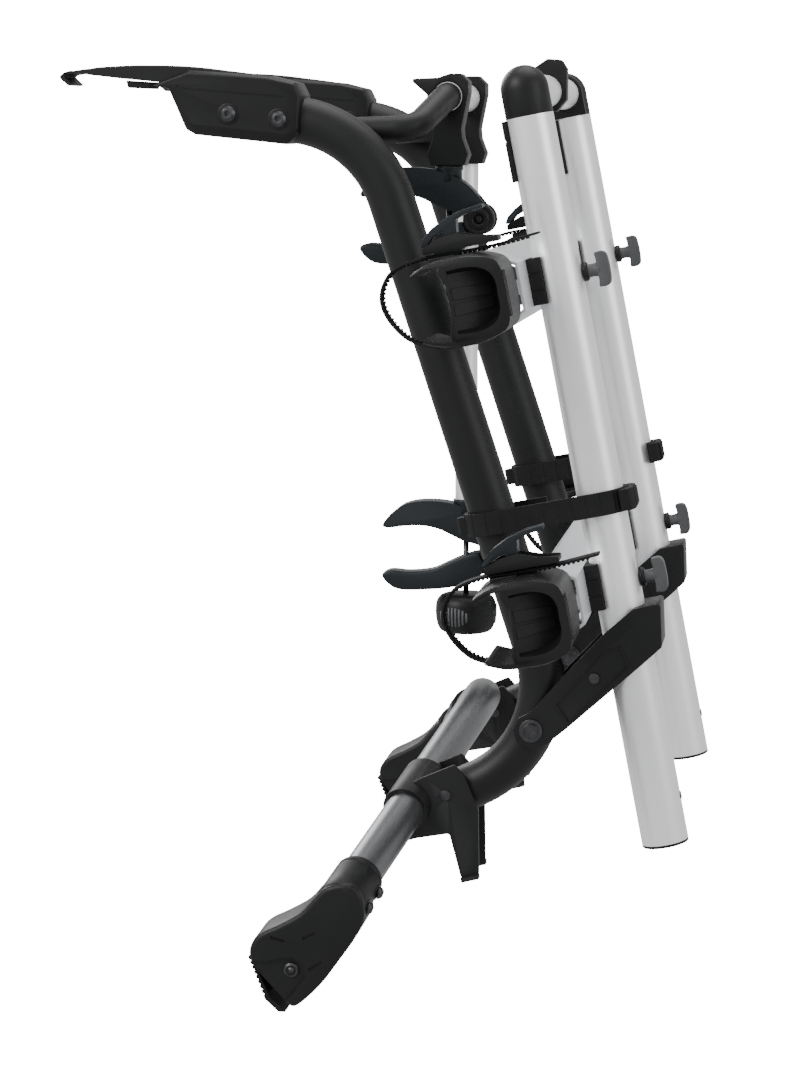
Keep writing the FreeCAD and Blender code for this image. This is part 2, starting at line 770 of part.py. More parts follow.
def fold_link(node, side):
    """The U-shaped steel link: its cheeks pivot on the main tube, its back holds the tray tube."""
    body = new_body(node)
    shape = new_sketch(body, "XZ_Plane", "outline")
    outline(shape, link_corners())
    pad(body, shape, "cheek_gap + 2 * cheek_wall", both=True)
    round_edges(body, along_axis(ACROSS), 3)
    channel = new_sketch(body, "XZ_Plane", "channel")
    outline(channel, [(-40, -40), (20, -40), (118, 60), (86, 150), (-40, 150)])
    pocket(body, channel, "cheek_gap", both=True)
    bore = new_sketch(body, "XZ_Plane", "pivot_bore")
    circle(bore, 0, 0, "pivot_dia / 2 + run_gap")
    pocket(body, bore, "cheek_gap + 3 * cheek_wall", both=True)
    rivet = new_sketch(body, "XZ_Plane", "rivet_bore")
    circle(rivet, 62, 54, 3.05)
    pocket(body, rivet, "cheek_gap + 3 * cheek_wall", both=True)
    for face in (-1, 1):
        panel = new_sketch(body, "XZ_Plane", "panel")
        depth = value_of("cheek_gap / 2 + cheek_wall - 1")
        panel.AttachmentOffset = FreeCAD.Placement(V(0, 0, face * depth), SQUARE_ON)
        outline(panel, [(25, 27), (37, 10), (95, 66), (87, 85), (72, 80)])
        pocket(body, panel, 4, reverse=face > 0)
    body.Placement = FreeCAD.Placement(V(0, side * HALF, 0), SQUARE_ON)
    doc.recompute()
    arm = doc.addObject("Part::Cylinder", node + "_arm_space")
    arm.setExpression("Radius", bound("tray_dia / 2 + 0.02"))
    arm.setExpression("Height", "400")
    arm.Placement = in_tray(side * HALF).multiply(FreeCAD.Placement(V(0, 0, -150), SQUARE_ON))
    cut = doc.addObject("Part::Cut", node + "_cut")
    cut.Base = body
    cut.Tool = arm
    return keep(cut, node)


def link_rivets():
    """Rivets through the links' recessed panels."""
    rivets = []
    wall = size("cheek_wall")
    for side in (-1, 1):
        for face in (-1, 1):
            way = V(0, face, 0)
            spot = V(62, side * HALF + face * (size("cheek_gap") / 2 + wall - 0.98), 54)
            head = Part.makeCylinder(5.4, 1.8, spot, way)
            head = soften(head, 0.8, lambda e: isinstance(e.Curve, Part.Circle))
            rivets.append(head.fuse(Part.makeCylinder(3, wall - 1.2, spot - way * (wall - 1.2), way)))
    return solid_feature("link_rivets", Part.makeCompound(rivets))


def bumper_strips():
    """Rubber strips on the car side of each tray tube, below the cap, each in two lengths."""
    strips = []
    radius = size("tray_dia") / 2
    for side in (-1, 1):
        ring = Part.makeCylinder(radius + 5, 60, V(0, 0, 552)).cut(
            Part.makeCylinder(radius + 0.02, 64, V(0, 0, 551)))
        near, far = sorted((side * 10, -side * 19))
        window = Part.makeBox(30, far - near, 60, V(-radius - 8, near, 552))
        strip = soften(largest(ring.common(window)), 1.5, along_axis(V(0, 0, 1)))
        groove = Part.makeBox(12, 60, 1.6, V(-radius - 9, -30, 592))
        strip = strip.cut(groove)
        strip.Placement = in_tray(side * HALF)
        strips.append(strip)
    return solid_feature("bumper_strips", Part.makeCompound(strips))


# ---- wheel rails --------------------------------------------------------

def wheel_rail(node, along):
    """A flared channel across the platform that a bicycle's tyres stand in."""
    body = new_body(node)
    section = new_sketch(body, "XZ_Plane", "section")
    outline(section, rail_ring(along))
    pad(body, section, "2 * rail_half", both=True)
    for side in (-1, 1):
        hole = new_sketch(body, "YZ_Plane", "stud_bore")
        circle(hole, "%d * tube_spacing / 2" % side, along, "stud_dia / 2 + 0.02")
        pocket(body, hole, 160, both=True)
    return keep(body, node, in_tray())


def rail_ring(along):
    """The rail's section as one closed line: outside down one wall, inside back up the other."""
    b = "rail_back"
    depth = "rail_back + rail_depth"
    outside = [("rail_back", "rail_base / 2"), ("%s - 4" % depth, "rail_mouth / 2 - 1"),
               ("%s - 2" % depth, "rail_mouth / 2 + 2"), ("%s + 1" % depth, "rail_mouth / 2 + 2"),
               ("%s + 2.4" % depth, "rail_mouth / 2"), ("%s + 1" % depth, "rail_mouth / 2 - 2.2"),
               ("%s + rail_wall" % b, "rail_base / 2 - 2"), ("%s + rail_wall" % b, "7"),
               ("%s + rail_wall + 5" % b, "7"), ("%s + rail_wall + 5" % b, "4.3")]
    points = [("-(%s)" % x, "%s + %s" % (along, y)) for x, y in outside]
    points += [("-(%s)" % x, "%s - (%s)" % (along, y)) for x, y in reversed(outside)]
    return points


def rail_saddles(node, along):
    """Rubber saddles between the rail's back and the round tubes."""
    saddles = []
    radius = size("tray_dia") / 2
    for side in (-1, 1):
        block = Part.makeBox(14, 50, 46, V(-size("rail_back") + 0.02, -25, along - 23))
        block = soften(block, 3, along_axis(V(1, 0, 0)))
        tube = Part.makeCylinder(radius + 0.02, 80, V(0, 0, along - 40))
        hole = rod(V(-20, 0, along), V(1, 0, 0), size("stud_dia") / 2 + 0.05, 40)
        saddle = largest(block.cut(tube).cut(hole))
        saddle.Placement = in_tray(side * HALF)
        saddles.append(saddle)
    return solid_feature(node, Part.makeCompound(saddles))


def wheel_cup(node, along, side):
    """The moulded scoop at a rail's end: a U-shaped trough with a ramp and two strap lugs."""
    start, end = size("cup_inner") + 73, size("cup_outer")
    half = [(-31, 20), (-37, 33), (-60, 42), (-98, 40), (-116, 33), (-116, 27), (-100, 34),
            (-62, 35), (-46, 27), (-40, 14)]
    ring = half + [(x, -z) for x, z in reversed(half)]
    shell = polygon_prism([(x, z + along) for x, z in ring], "y", start, end)
    shell = soften(shell, 2.5, along_axis(ACROSS))
    nest = [(-35.2, 17), (-52, 29), (-78, 31), (-78, 27), (-54, 25), (-38, 14)]
    nest += [(x, -z) for x, z in reversed(nest)]
    tongue = polygon_prism([(x, z + along) for x, z in nest], "y", size("cup_inner") + 8, start + 4)
    ramp = polygon_prism([(-36, start), (-36, end), (-84, end), (-74, end - 12), (-42, start)],
                         "z", along - 34, along + 34)
    limit = polygon_prism([(x, z + along) for x, z in [
        (-31, 20), (-37, 33), (-60, 40), (-110, 36), (-110, -36), (-60, -40), (-37, -33),
        (-31, -20)]], "y", start, end)
    shape = shell.fuse([tongue, ramp.common(limit)])
    middle = (start + end) / 2 - 6
    for face in (-1, 1):
        lug = Part.makeBox(26, 32, 6, V(-102, middle - 16, along + (37 if face > 0 else -43)))
        lug = soften(lug, 2, along_axis(V(0, 0, 1)))
        shape = shape.fuse(lug)
    shape = shape.cut(band_shape(along, side, 0.6, middle)).removeSplitter()
    if side < 0:
        shape = mirrored(shape)
    return solid_feature(node, largest(shape), in_tray())


def band_line(along):
    """The ladder strap's centre line: lower lug, loop on the car side, buckle, tail."""
    spots = [(-100, -40.2), (-112, -40), (-136, -28), (-152, -4), (-154, 18), (-140, 38), (-112, 45.4),
             (-80, 45.2), (-40, 45.5), (4, 49)]
    return [V(x, 0, z + along) for x, z in spots]


def band_shape(along, side, grow, middle):
    """A thin flat strap along its line, 19 mm wide."""
    curve = Part.BSplineCurve()
    curve.interpolate(band_line(along))
    edge = curve.toShape()
    thick = 2.4 + 2 * grow
    count = 48
    first, last = edge.ParameterRange
    outer_points, inner_points = [], []
    for i in range(count + 1):
        at = first + (last - first) * i / count
        spot = edge.valueAt(at)
        way = edge.tangentAt(at)
        normal = V(-way.z, 0, way.x)
        outer_points.append(spot + normal * (thick / 2))
        inner_points.append(spot - normal * (thick / 2))
    sides = []
    for points in (outer_points, inner_points):
        line = Part.BSplineCurve()
        line.interpolate(points)
        sides.append(line.toShape())
    caps = [Part.makeLine(outer_points[0], inner_points[0]),
            Part.makeLine(outer_points[-1], inner_points[-1])]
    face = Part.Face(Part.Wire(Part.__sortEdges__(sides + caps)))
    half = 9.5 + grow
    face.translate(V(0, middle - half, 0))
    return face.extrude(V(0, 2 * half, 0))


def cup_middle():
    return (size("cup_inner") + 73 + size("cup_outer")) / 2 - 6


def ladder_straps(node, along):
    straps = []
    for side in (-1, 1):
        strap = band_shape(along, side, 0, cup_middle())
        if side < 0:
            strap = mirrored(strap)
        strap.Placement = in_tray()
        straps.append(strap)
    return solid_feature(node, Part.makeCompound(straps))


LEVER_PIN = (-78, 56)


def buckle_bases(node, along):
    """Ratchet buckle bodies over the strap, with two cheeks for the lever's pin."""
    bases = []
    middle = cup_middle()
    for side in (-1, 1):
        corners = [(-106, 47.2), (-106, 53), (-90, 60), (-72, 62), (-54, 56), (-34, 53), (-34, 47.6),
                   (-60, 47.2)]
        block = polygon_prism([(x, z + along) for x, z in corners], "y", middle - 14, middle + 14)
        block = soften(block, 1.5, along_axis(ACROSS))
        room = Part.makeBox(64, 20.4, 30, V(-110, middle - 10.2, along + 49.8))
        tail = Part.makeBox(20, 20.4, 30, V(-50, middle - 10.2, along + 52))
        base = block.cut(room).cut(tail)
        pin = rod(V(LEVER_PIN[0], middle, along + LEVER_PIN[1]), ACROSS, 2.5, 27)
        base = base.fuse(pin)
        if side < 0:
            base = mirrored(base)
        base.Placement = in_tray()
        bases.append(base)
    return solid_feature(node, Part.makeCompound(bases))


def strap_lever(node, along, side):
    """The curved release lever of one ratchet buckle."""
    middle = cup_middle()
    upper = [(-108, 55), (-104, 62), (-94, 70), (-80, 77), (-62, 82), (-44, 84)]
    lower = [(-43, 80.6), (-60, 78), (-70, 74.5), (-73, 56), (-78, 51.4), (-83, 56), (-84, 66),
             (-94, 62), (-102, 54)]
    corners = [(x, z + along) for x, z in upper + lower]
    lever = polygon_prism(corners, "y", middle - 10, middle + 10)
    lever = soften(lever, 1.2, along_axis(ACROSS))
    bore = rod(V(LEVER_PIN[0], middle, along + LEVER_PIN[1]), ACROSS, 2.5 + size("run_gap"), 40)
    lever = lever.cut(bore)
    if side < 0:
        lever = mirrored(lever)
    return solid_feature(node, lever, in_tray())


def rail_knob(node, along, side):
    """A T-handled clamp screw through the tray tube into the rail's back."""
    radius = size("tray_dia") / 2
    out = V(1, 0, 0)
    stud = Part.makeCylinder(size("stud_dia") / 2, 64, V(-34, 0, along), out)
    collar = Part.makeCylinder(8.6, 6, V(radius + 0.6, 0, along), out)
    stem = Part.makeCylinder(7, 10, V(radius + 5, 0, along), out)
    head = Part.makeBox(13, 15, 34, V(37, -7.5, along - 17))
    head = soften(head, 5, along_axis(out))
    head = soften(head, 2, lambda e: e.BoundBox.XMin > 49.5)
    knob = stud.fuse([collar, stem, head]).removeSplitter()
    return solid_feature(node, knob, in_tray(side * HALF))


# ---- holder arms --------------------------------------------------------

def holder_spot(across, x=0.0, z=0.0):
    return V(size("hold_x") + x, across, size("hold_z") + z)


def arm_head(node, across):
    """A hooked head that turns on the sleeve, with a thumb spur and a flared skirt."""
    body = new_body(node)
    shape = new_sketch(body, "XZ_Plane", "outline")
    outline(shape, [(-36, 15), (-21, 2), (-19, -14), (-14, -32), (-15, -42), (-21, -58), (-17, -69),
                    (17, -69), (21, -58), (15, -42), (14, -32), (18, -12), (21, 4), (21, 15),
                    (13, 23), (2, 23), (-10, 19), (-35, 18)])
    pad(body, shape, 31, both=True)
    round_edges(body, along_axis(ACROSS), 1.4)
    bore = new_sketch(body, "XZ_Plane", "bore")
    circle(bore, 0, 0, "sleeve_dia / 2 + run_gap")
    pocket(body, bore, 60, both=True)
    socket = new_sketch(body, "XY_Plane", "socket")
    socket.AttachmentOffset = FreeCAD.Placement(V(0, 0, -69), SQUARE_ON)
    circle(socket, 0, 0, "pole_dia / 2 + 0.02")
    pocket(body, socket, 30, reverse=True)
    return keep(body, node, FreeCAD.Placement(holder_spot(across), SQUARE_ON))


def arm_pole(node, across, level):
    """The bright pole between head and jaw."""
    body = new_body(node)
    ring = new_sketch(body, "XY_Plane", "ring")
    circle(ring, 0, 0, "pole_dia / 2")
    circle(ring, 0, 0, "pole_dia / 2 - 1.8")
    low = "%s + 30" % level
    pad(body, ring, "hold_z - 41 - (%s)" % low)
    spot = V(size("hold_x"), across, value_of(low))
    return keep(body, node, FreeCAD.Placement(spot, SQUARE_ON))


def claw_prism(corners, across, level):
    half = size("claw_width") / 2
    points = [(size("hold_x") + x, level + z) for x, z in corners]
    return polygon_prism(points, "y", across - half, across + half)


JAW_PIN = 32


def jaw_body(node, across, level):
    """The fixed upper claw, with the pole's socket, a fork and the pivot pin."""
    height = value_of(level)
    curve = [(-91, 27), (-82, 38), (-68, 49), (-52, 52), (-34, 52), (-16, 50), (2, 45), (18, 36),
             (34, 20), (46, 4), (40, -10), (24, -10), (16, 5), (-1, 9), (-16, 16), (-30, 23),
             (-48, 26), (-68, 24), (-84, 22)]
    claw = soften(claw_prism(curve, across, height), 3, along_axis(ACROSS))
    claw = soften(claw, 2.4, lambda e: e.BoundBox.YLength < 0.1 and e.BoundBox.XMax < size("hold_x") - 20)
    axis_x = size("hold_x")
    boss = Part.makeCylinder(15, 22, V(axis_x, across, height + 30))
    pivot = V(axis_x + JAW_PIN, across, height)
    disc = rod(pivot, ACROSS, 16, size("claw_width") + 7)
    shape = claw.fuse([boss, disc])
    shape = shape.cut(Part.makeCylinder(size("pole_dia") / 2 + 0.02, 40, V(axis_x, across, height + 30)))
    shape = shape.cut(rod(V(axis_x, across, height + 10), V(0, 0, 1), 3 + size("run_gap"), 60))
    room = rod(pivot, ACROSS, 22, 13.4)
    throat = Part.makeBox(60, 13.4, 40, V(axis_x - 14, across - 6.7, height - 39))
    shape = shape.cut(room).cut(throat)
    shape = shape.fuse(rod(pivot, ACROSS, 5, 20))
    return solid_feature(node, largest(shape))


def jaw_claw(node, across, level):
    """The moving lower claw: its tongue turns on the pin, a slot clears the screw."""
    height = value_of(level)
    curve = [(-92, -29), (-82, -23), (-62, -26), (-37, -23), (-17, -14), (2, -5), (16, -3), (20, -18),
             (16, -34), (-9, -41), (-37, -46), (-72, -46.5), (-84, -38)]
    claw = soften(claw_prism(curve, across, height), 3, along_axis(ACROSS))
    claw = soften(claw, 2.4, lambda e: e.BoundBox.YLength < 0.1 and e.BoundBox.XMax < size("hold_x") - 20)
    axis_x = size("hold_x")
    pivot = V(axis_x + JAW_PIN, across, height)
    space = rod(pivot, ACROSS, 17.5, 60)
    tongue = polygon_prism([(axis_x + 6, height - 8), (axis_x + 24, height + 6), (axis_x + 38, height + 9),
                            (axis_x + 42, height - 6), (axis_x + 18, height - 30),
                            (axis_x + 6, height - 30)], "y", across - 6.5, across + 6.5)
    shape = claw.cut(space).fuse([tongue, rod(pivot, ACROSS, 14, 13)])
    shape = shape.cut(rod(pivot, ACROSS, 5 + size("run_gap"), 60))
    slot = Part.makeBox(28, 8, 80, V(axis_x - 14, across - 4, height - 60))
    return solid_feature(node, largest(shape.cut(slot)))


def clamp_knob(node, across, level):
    """The round clamp knob and its screw."""
    height = value_of(level)
    axis_x = size("hold_x")
    profile = [(0, -49.5), (20, -49.5), (30, -54), (33, -64), (32, -80), (27, -90), (14, -93), (0, -93)]
    points = [V(axis_x + r, across, height + z) for r, z in profile]
    face = Part.Face(Part.makePolygon(points + points[:1]))
    knob = face.revolve(V(axis_x, across, 0), V(0, 0, 1), 360)
    knob = soften(knob, 4, lambda e: e.BoundBox.XLength > 50)
    screw = Part.makeCylinder(3, 72, V(axis_x, across, height - 52))
    return solid_feature(node, largest(knob.fuse(screw)))


# ---- assembly -----------------------------------------------------------

def build():
    for side, name in ((-1, "left"), (1, "right")):
        main_tube("main_tube_" + name, side)
        hook_housing("hook_housing_" + name, side)
        hook_blade("hook_blade_" + name, side)
        lower_bracket("lower_bracket_" + name, side)
        foot_shoe("foot_shoe_" + name, side)
        foot_pad("foot_pad_" + name, side)
        tray_tube("tray_tube_" + name, side)
        fold_link("fold_link_" + name, side)
    upper_hoop()
    holder_sleeve()
    hook_pads()
    foot_bar()
    frame_screws()
    fold_pivot_bolts()
    stow_straps()
    tube_caps()
    cross_tube()
    hanger_plate()
    link_rivets()
    bumper_strips()
    for rail in ("upper", "lower"):
        along = rail + "_rail"
        level = size(along)
        wheel_rail("wheel_rail_" + rail, along)
        rail_saddles("rail_saddles_" + rail, level)
        ladder_straps("ladder_straps_" + rail, level)
        buckle_bases("buckle_bases_" + rail, level)
        for side, name in ((-1, "left"), (1, "right")):
            wheel_cup("wheel_cup_%s_%s" % (rail, name), level, side)
            strap_lever("strap_lever_%s_%s" % (rail, name), level, side)
            rail_knob("rail_knob_%s_%s" % (rail, name), level, side)
    for arm in ("short", "long"):
        across = size(arm + "_y")
        level = arm + "_jaw"
        arm_head("arm_head_" + arm, across)
        arm_pole("arm_pole_" + arm, across, level)
        jaw_body("jaw_body_" + arm, across, level)
        jaw_claw("jaw_claw_" + arm, across, level)
        clamp_knob("clamp_knob_" + arm, across, level)


def check_and_write():
    doc.recompute()
    for item in doc.Objects:
        if "Invalid" in item.State or "Error" in item.State:
            raise RuntimeError("%s failed: %s" % (item.Name, item.State))
    for feature in NODES:
        shape = feature.Shape
        if shape.isNull() or not shape.isValid():
            raise RuntimeError("%s has no valid shape" % feature.Label)
    os.makedirs("parts", exist_ok=True)
    for feature in NODES:
        feature.Shape.exportStep("parts/%s.step" % feature.Label)
    print("%d sub-parts written" % len(NODES))


build()
check_and_write()
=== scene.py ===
import json
import math

import bmesh
import bpy
from mathutils import Matrix, Vector


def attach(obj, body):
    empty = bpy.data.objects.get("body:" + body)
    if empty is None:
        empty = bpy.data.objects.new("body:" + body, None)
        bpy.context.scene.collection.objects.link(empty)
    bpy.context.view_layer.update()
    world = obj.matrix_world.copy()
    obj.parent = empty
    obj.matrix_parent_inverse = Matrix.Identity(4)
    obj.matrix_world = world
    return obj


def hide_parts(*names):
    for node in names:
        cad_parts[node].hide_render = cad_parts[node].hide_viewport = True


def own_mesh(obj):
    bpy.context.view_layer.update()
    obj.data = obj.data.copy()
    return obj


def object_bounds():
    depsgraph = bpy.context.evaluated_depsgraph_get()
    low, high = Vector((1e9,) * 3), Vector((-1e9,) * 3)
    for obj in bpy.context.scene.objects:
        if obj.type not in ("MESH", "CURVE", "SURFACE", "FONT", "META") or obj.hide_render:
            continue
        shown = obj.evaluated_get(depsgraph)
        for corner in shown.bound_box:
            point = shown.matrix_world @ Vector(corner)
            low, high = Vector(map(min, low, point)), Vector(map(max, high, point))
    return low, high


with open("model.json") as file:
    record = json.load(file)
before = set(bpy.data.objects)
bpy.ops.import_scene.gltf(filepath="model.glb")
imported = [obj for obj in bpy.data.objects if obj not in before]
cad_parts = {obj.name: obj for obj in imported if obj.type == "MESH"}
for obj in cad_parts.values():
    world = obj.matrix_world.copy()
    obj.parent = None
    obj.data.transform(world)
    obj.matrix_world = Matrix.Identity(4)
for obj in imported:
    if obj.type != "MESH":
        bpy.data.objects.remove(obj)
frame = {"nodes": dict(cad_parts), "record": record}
cad_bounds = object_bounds()

NODES = frame["nodes"]
BODY_OF = {node: body for body, nodes in frame["record"]["behaviour"]["bodies"].items() for node in nodes}
SLOT_OF = {part["node"]: part["material_slot"] for part in frame["record"]["subparts"]}

# Driving sizes of the carrier, lengths in millimetres, as in the CAD model.
MM = 0.001
SIDES = {"left": -1, "right": 1}

# Distances across, from the middle: tubes, ladder straps, foot shoes, rubber feet.
TUBE_Y = 210
STRAP_Y = 348.5
SHOE_Y = 394
FOOT_Y = 392

# The leaning platform: where it starts, its lean, the rails' heights along it, the rubber's inner radius.
TRAY_START = 110
TRAY_LEAN = math.radians(11.1)
RAILS = {"upper": 454.6, "lower": 149.8}
TRAY_FIT = 23.45

# The holder arms: the clamps' X, the claws' pivot, and each clamp's place across and height.
HOLD_X = -103
PIVOT_X = HOLD_X + 32
ARMS = {"short": (-85, 498), "long": (60, 138)}

# The foot bar: its middle bend, its ends' slope and the fall of its plane.
BAR_RADIUS = 218
BAR_ARC = math.radians(21)
BAR_DROP = math.radians(55.6)


# ---- materials ----------------------------------------------------------

def new_material(name):
    """A new material with its node tree and shader."""
    material = bpy.data.materials.new(name)
    material.use_nodes = True
    tree = material.node_tree
    return material, tree, tree.nodes["Principled BSDF"]


def node(tree, kind, **inputs):
    """A node of a kind, with its inputs set by name."""
    made = tree.nodes.new(kind)
    for key, value in inputs.items():
        made.inputs[key.replace("_", " ")].default_value = value
    return made


def place_coords(tree, stretch=(1, 1, 1), turn=(0, 0, 0)):
    """Object coordinates in metres, turned and stretched."""
    coords = tree.nodes.new("ShaderNodeTexCoord")
    mapping = tree.nodes.new("ShaderNodeMapping")
    mapping.inputs["Scale"].default_value = stretch
    mapping.inputs["Rotation"].default_value = turn
    tree.links.new(coords.outputs["Object"], mapping.inputs["Vector"])
    return mapping.outputs["Vector"]


def noise_tex(tree, vector, scale, detail=3.0, rough=0.55):
    """A noise pattern's value over a place vector."""
    tex = node(tree, "ShaderNodeTexNoise", Scale=scale, Detail=detail, Roughness=rough)
    tree.links.new(vector, tex.inputs["Vector"])
    return tex.outputs["Fac"]


def ramp(tree, source, stops):
    """A colour ramp from (position, colour) stops."""
    made = tree.nodes.new("ShaderNodeValToRGB")
    points = made.color_ramp.elements
    while len(points) < len(stops):
        points.new(0.5)
    for point, (place, colour) in zip(points, stops):
        point.position = place
        point.color = (*colour, 1)
    tree.links.new(source, made.inputs["Fac"])
    return made.outputs["Color"]


def value_range(tree, source, low, high):
    """A value from 0 to 1 spread between low and high."""
    made = tree.nodes.new("ShaderNodeMapRange")
    made.inputs["To Min"].default_value = low
    made.inputs["To Max"].default_value = high
    tree.links.new(source, made.inputs["Value"])
    return made.outputs["Result"]


def mix_colour(tree, factor, first, second):
    """A blend from a first colour output to a second, plain colour."""
    made = tree.nodes.new("ShaderNodeMix")
    made.data_type = "RGBA"
    tree.links.new(factor, made.inputs["Factor"])
    tree.links.new(first, made.inputs["A"])
    made.inputs["B"].default_value = (*second, 1)
    return made.outputs["Result"]


def bump(tree, shader, layers):
    """Stack bump layers: (height source, strength, distance in metres)."""
    last = None
    for height, strength, distance in layers:
        made = tree.nodes.new("ShaderNodeBump")
        made.inputs["Strength"].default_value = strength
        made.inputs["Distance"].default_value = distance
        tree.links.new(height, made.inputs["Height"])
        if last:
            tree.links.new(last, made.inputs["Normal"])
        last = made.outputs["Normal"]
    tree.links.new(last, shader.inputs["Normal"])


def edge_wear(tree, low, high):
    """A mask that is bright on convex edges, from the surface's pointiness."""
    shape = tree.nodes.new("ShaderNodeNewGeometry")
    return ramp(tree, shape.outputs["Pointiness"], [(low, (0, 0, 0)), (high, (1, 1, 1))])


def coated_steel():
    """Black powder coat: fine orange-peel, slightly rubbed edges."""
    material, tree, shader = new_material("powder_coat")
    spot = place_coords(tree)
    cloud = noise_tex(tree, spot, 9)
    peel = noise_tex(tree, spot, 900, 2)
    body = ramp(tree, cloud, [(0.3, (0.0045, 0.0045, 0.0048)), (0.7, (0.0075, 0.0075, 0.0080))])
    worn = mix_colour(tree, edge_wear(tree, 0.57, 0.70), body, (0.020, 0.020, 0.021))
    tree.links.new(worn, shader.inputs["Base Color"])
    tree.links.new(value_range(tree, cloud, 0.40, 0.52), shader.inputs["Roughness"])
    shader.inputs["Specular IOR Level"].default_value = 0.30
    bump(tree, shader, [(peel, 0.35, 0.00012)])
    return material


def moulded_plastic(name, dark, light, rough, wear):
    """Moulded plastic with a fine spark-eroded grain."""
    material, tree, shader = new_material(name)
    spot = place_coords(tree)
    cloud = noise_tex(tree, spot, 14)
    fine = noise_tex(tree, spot, 1600, 4, 0.7)
    body = ramp(tree, cloud, [(0.3, dark), (0.72, light)])
    worn = mix_colour(tree, edge_wear(tree, 0.56, 0.68), body, wear)
    tree.links.new(worn, shader.inputs["Base Color"])
    tree.links.new(value_range(tree, fine, rough - 0.08, rough + 0.10), shader.inputs["Roughness"])
    shader.inputs["Specular IOR Level"].default_value = 0.28
    bump(tree, shader, [(fine, 0.45, 0.00010)])
    return material


def rubber():
    """Matt rubber with faint mottling and a dusty bloom."""
    material, tree, shader = new_material("rubber")
    spot = place_coords(tree)
    cloud = noise_tex(tree, spot, 30)
    fine = noise_tex(tree, spot, 700, 5, 0.75)
    body = ramp(tree, cloud, [(0.3, (0.0055, 0.0055, 0.0058)), (0.75, (0.011, 0.011, 0.0115))])
    tree.links.new(body, shader.inputs["Base Color"])
    tree.links.new(value_range(tree, cloud, 0.58, 0.72), shader.inputs["Roughness"])
    shader.inputs["Specular IOR Level"].default_value = 0.22
    bump(tree, shader, [(fine, 0.5, 0.00015)])
    return material


def drawn_aluminium(name, colour, rough, stretch, turn=(0, 0, 0), metal=0.6):
    """Satin anodised aluminium with drawing lines along the profile."""
    material, tree, shader = new_material(name)
    streaks = noise_tex(tree, place_coords(tree, stretch, turn), 1, 3)
    cloud = noise_tex(tree, place_coords(tree), 5)
    fine = noise_tex(tree, place_coords(tree), 2400, 2)
    light = tuple(min(1, c * 1.04) for c in colour)
    body = ramp(tree, streaks, [(0.25, colour), (0.75, light)])
    tree.links.new(body, shader.inputs["Base Color"])
    shader.inputs["Metallic"].default_value = metal
    tree.links.new(value_range(tree, cloud, rough - 0.03, rough + 0.05), shader.inputs["Roughness"])
    bump(tree, shader, [(streaks, 0.105, 0.00006), (fine, 0.10, 0.00004)])
    return material


def zinc_steel():
    """Screws and pins: dark zinc with a faint mottle and a fine grain."""
    material, tree, shader = new_material("zinc_steel")
    spot = place_coords(tree)
    cloud = noise_tex(tree, spot, 120)
    fine = noise_tex(tree, spot, 2500, 2)
    body = ramp(tree, cloud, [(0.3, (0.050, 0.050, 0.053)), (0.75, (0.095, 0.095, 0.10))])
    tree.links.new(body, shader.inputs["Base Color"])
    shader.inputs["Metallic"].default_value = 1
    tree.links.new(value_range(tree, cloud, 0.32, 0.48), shader.inputs["Roughness"])
    bump(tree, shader, [(fine, 0.3, 0.00008)])
    return material


FINISH = {
    "black_steel": coated_steel(),
    "black_plastic": moulded_plastic("black_plastic", (0.0045, 0.0045, 0.0048), (0.008, 0.008, 0.0085),
                                     0.44, (0.020, 0.020, 0.021)),
    "black_rubber": rubber(),
    "silver_tube": drawn_aluminium("silver_tube", (0.95, 0.955, 0.96), 0.34, (700, 700, 3),
                                   (0, TRAY_LEAN, 0)),
    "silver_rail": drawn_aluminium("silver_rail", (0.80, 0.81, 0.83), 0.36, (700, 3, 700)),
    "grey_bar": drawn_aluminium("grey_bar", (0.17, 0.173, 0.178), 0.34, (500, 6, 500), metal=0.9),
    "screw_steel": zinc_steel(),
    "grey_plastic": moulded_plastic("grey_plastic", (0.066, 0.069, 0.072), (0.086, 0.089, 0.093), 0.46,
                                    (0.11, 0.112, 0.115)),
    "slate_plastic": moulded_plastic("slate_plastic", (0.0085, 0.0115, 0.0135), (0.014, 0.018, 0.021),
                                     0.40, (0.035, 0.044, 0.050)),
}


SEAM = 0.00002


def dress(obj, slot):
    """Give the object the finish of a material slot."""
    obj.data.materials.clear()
    obj.data.materials.append(FINISH[slot])


def round_off(obj, width, segments=3):
    """Merge the mesh's seams and round its sharp edges."""
    weld = obj.modifiers.new("weld", "WELD")
    weld.merge_threshold = SEAM
    flats = obj.modifiers.new("flats", "DECIMATE")
    flats.decimate_type = "DISSOLVE"
    flats.angle_limit = math.radians(1)
    edges = obj.modifiers.new("edges", "BEVEL")
    edges.width = width * MM
    edges.segments = segments
    edges.limit_method = "ANGLE"
    edges.angle_limit = math.radians(32)
    edges.harden_normals = True
    edges.use_clamp_overlap = True
    for face in obj.data.polygons:
        face.use_smooth = True


# ---- CAD nodes that stay ------------------------------------------------

BEVELS = {
    "lower_bracket": 0.9, "fold_link": 0.9, "hanger_plate": 0.7, "buckle_bases": 0.6, "strap_lever": 0.6,
    "arm_head": 2.4, "tube_caps": 0.5, "frame_screws": 0.4, "fold_pivot_bolts": 0.5, "holder_sleeve": 0.4,
}
for name, obj in NODES.items():
    dress(obj, SLOT_OF[name])
    for start, width in BEVELS.items():
        if name.startswith(start):
            round_off(obj, width)


# ---- mesh helpers -------------------------------------------------------

PLATFORM = Matrix.Translation((TRAY_START * MM, 0, 0)) @ Matrix.Rotation(-TRAY_LEAN, 4, "Y")
HERE = Matrix.Identity(4)


def on_platform(y=0.0, along=0.0):
    """The folding platform's frame, in metres, at a place across and along it."""
    return PLATFORM @ Matrix.Translation((0, y * MM, along * MM))


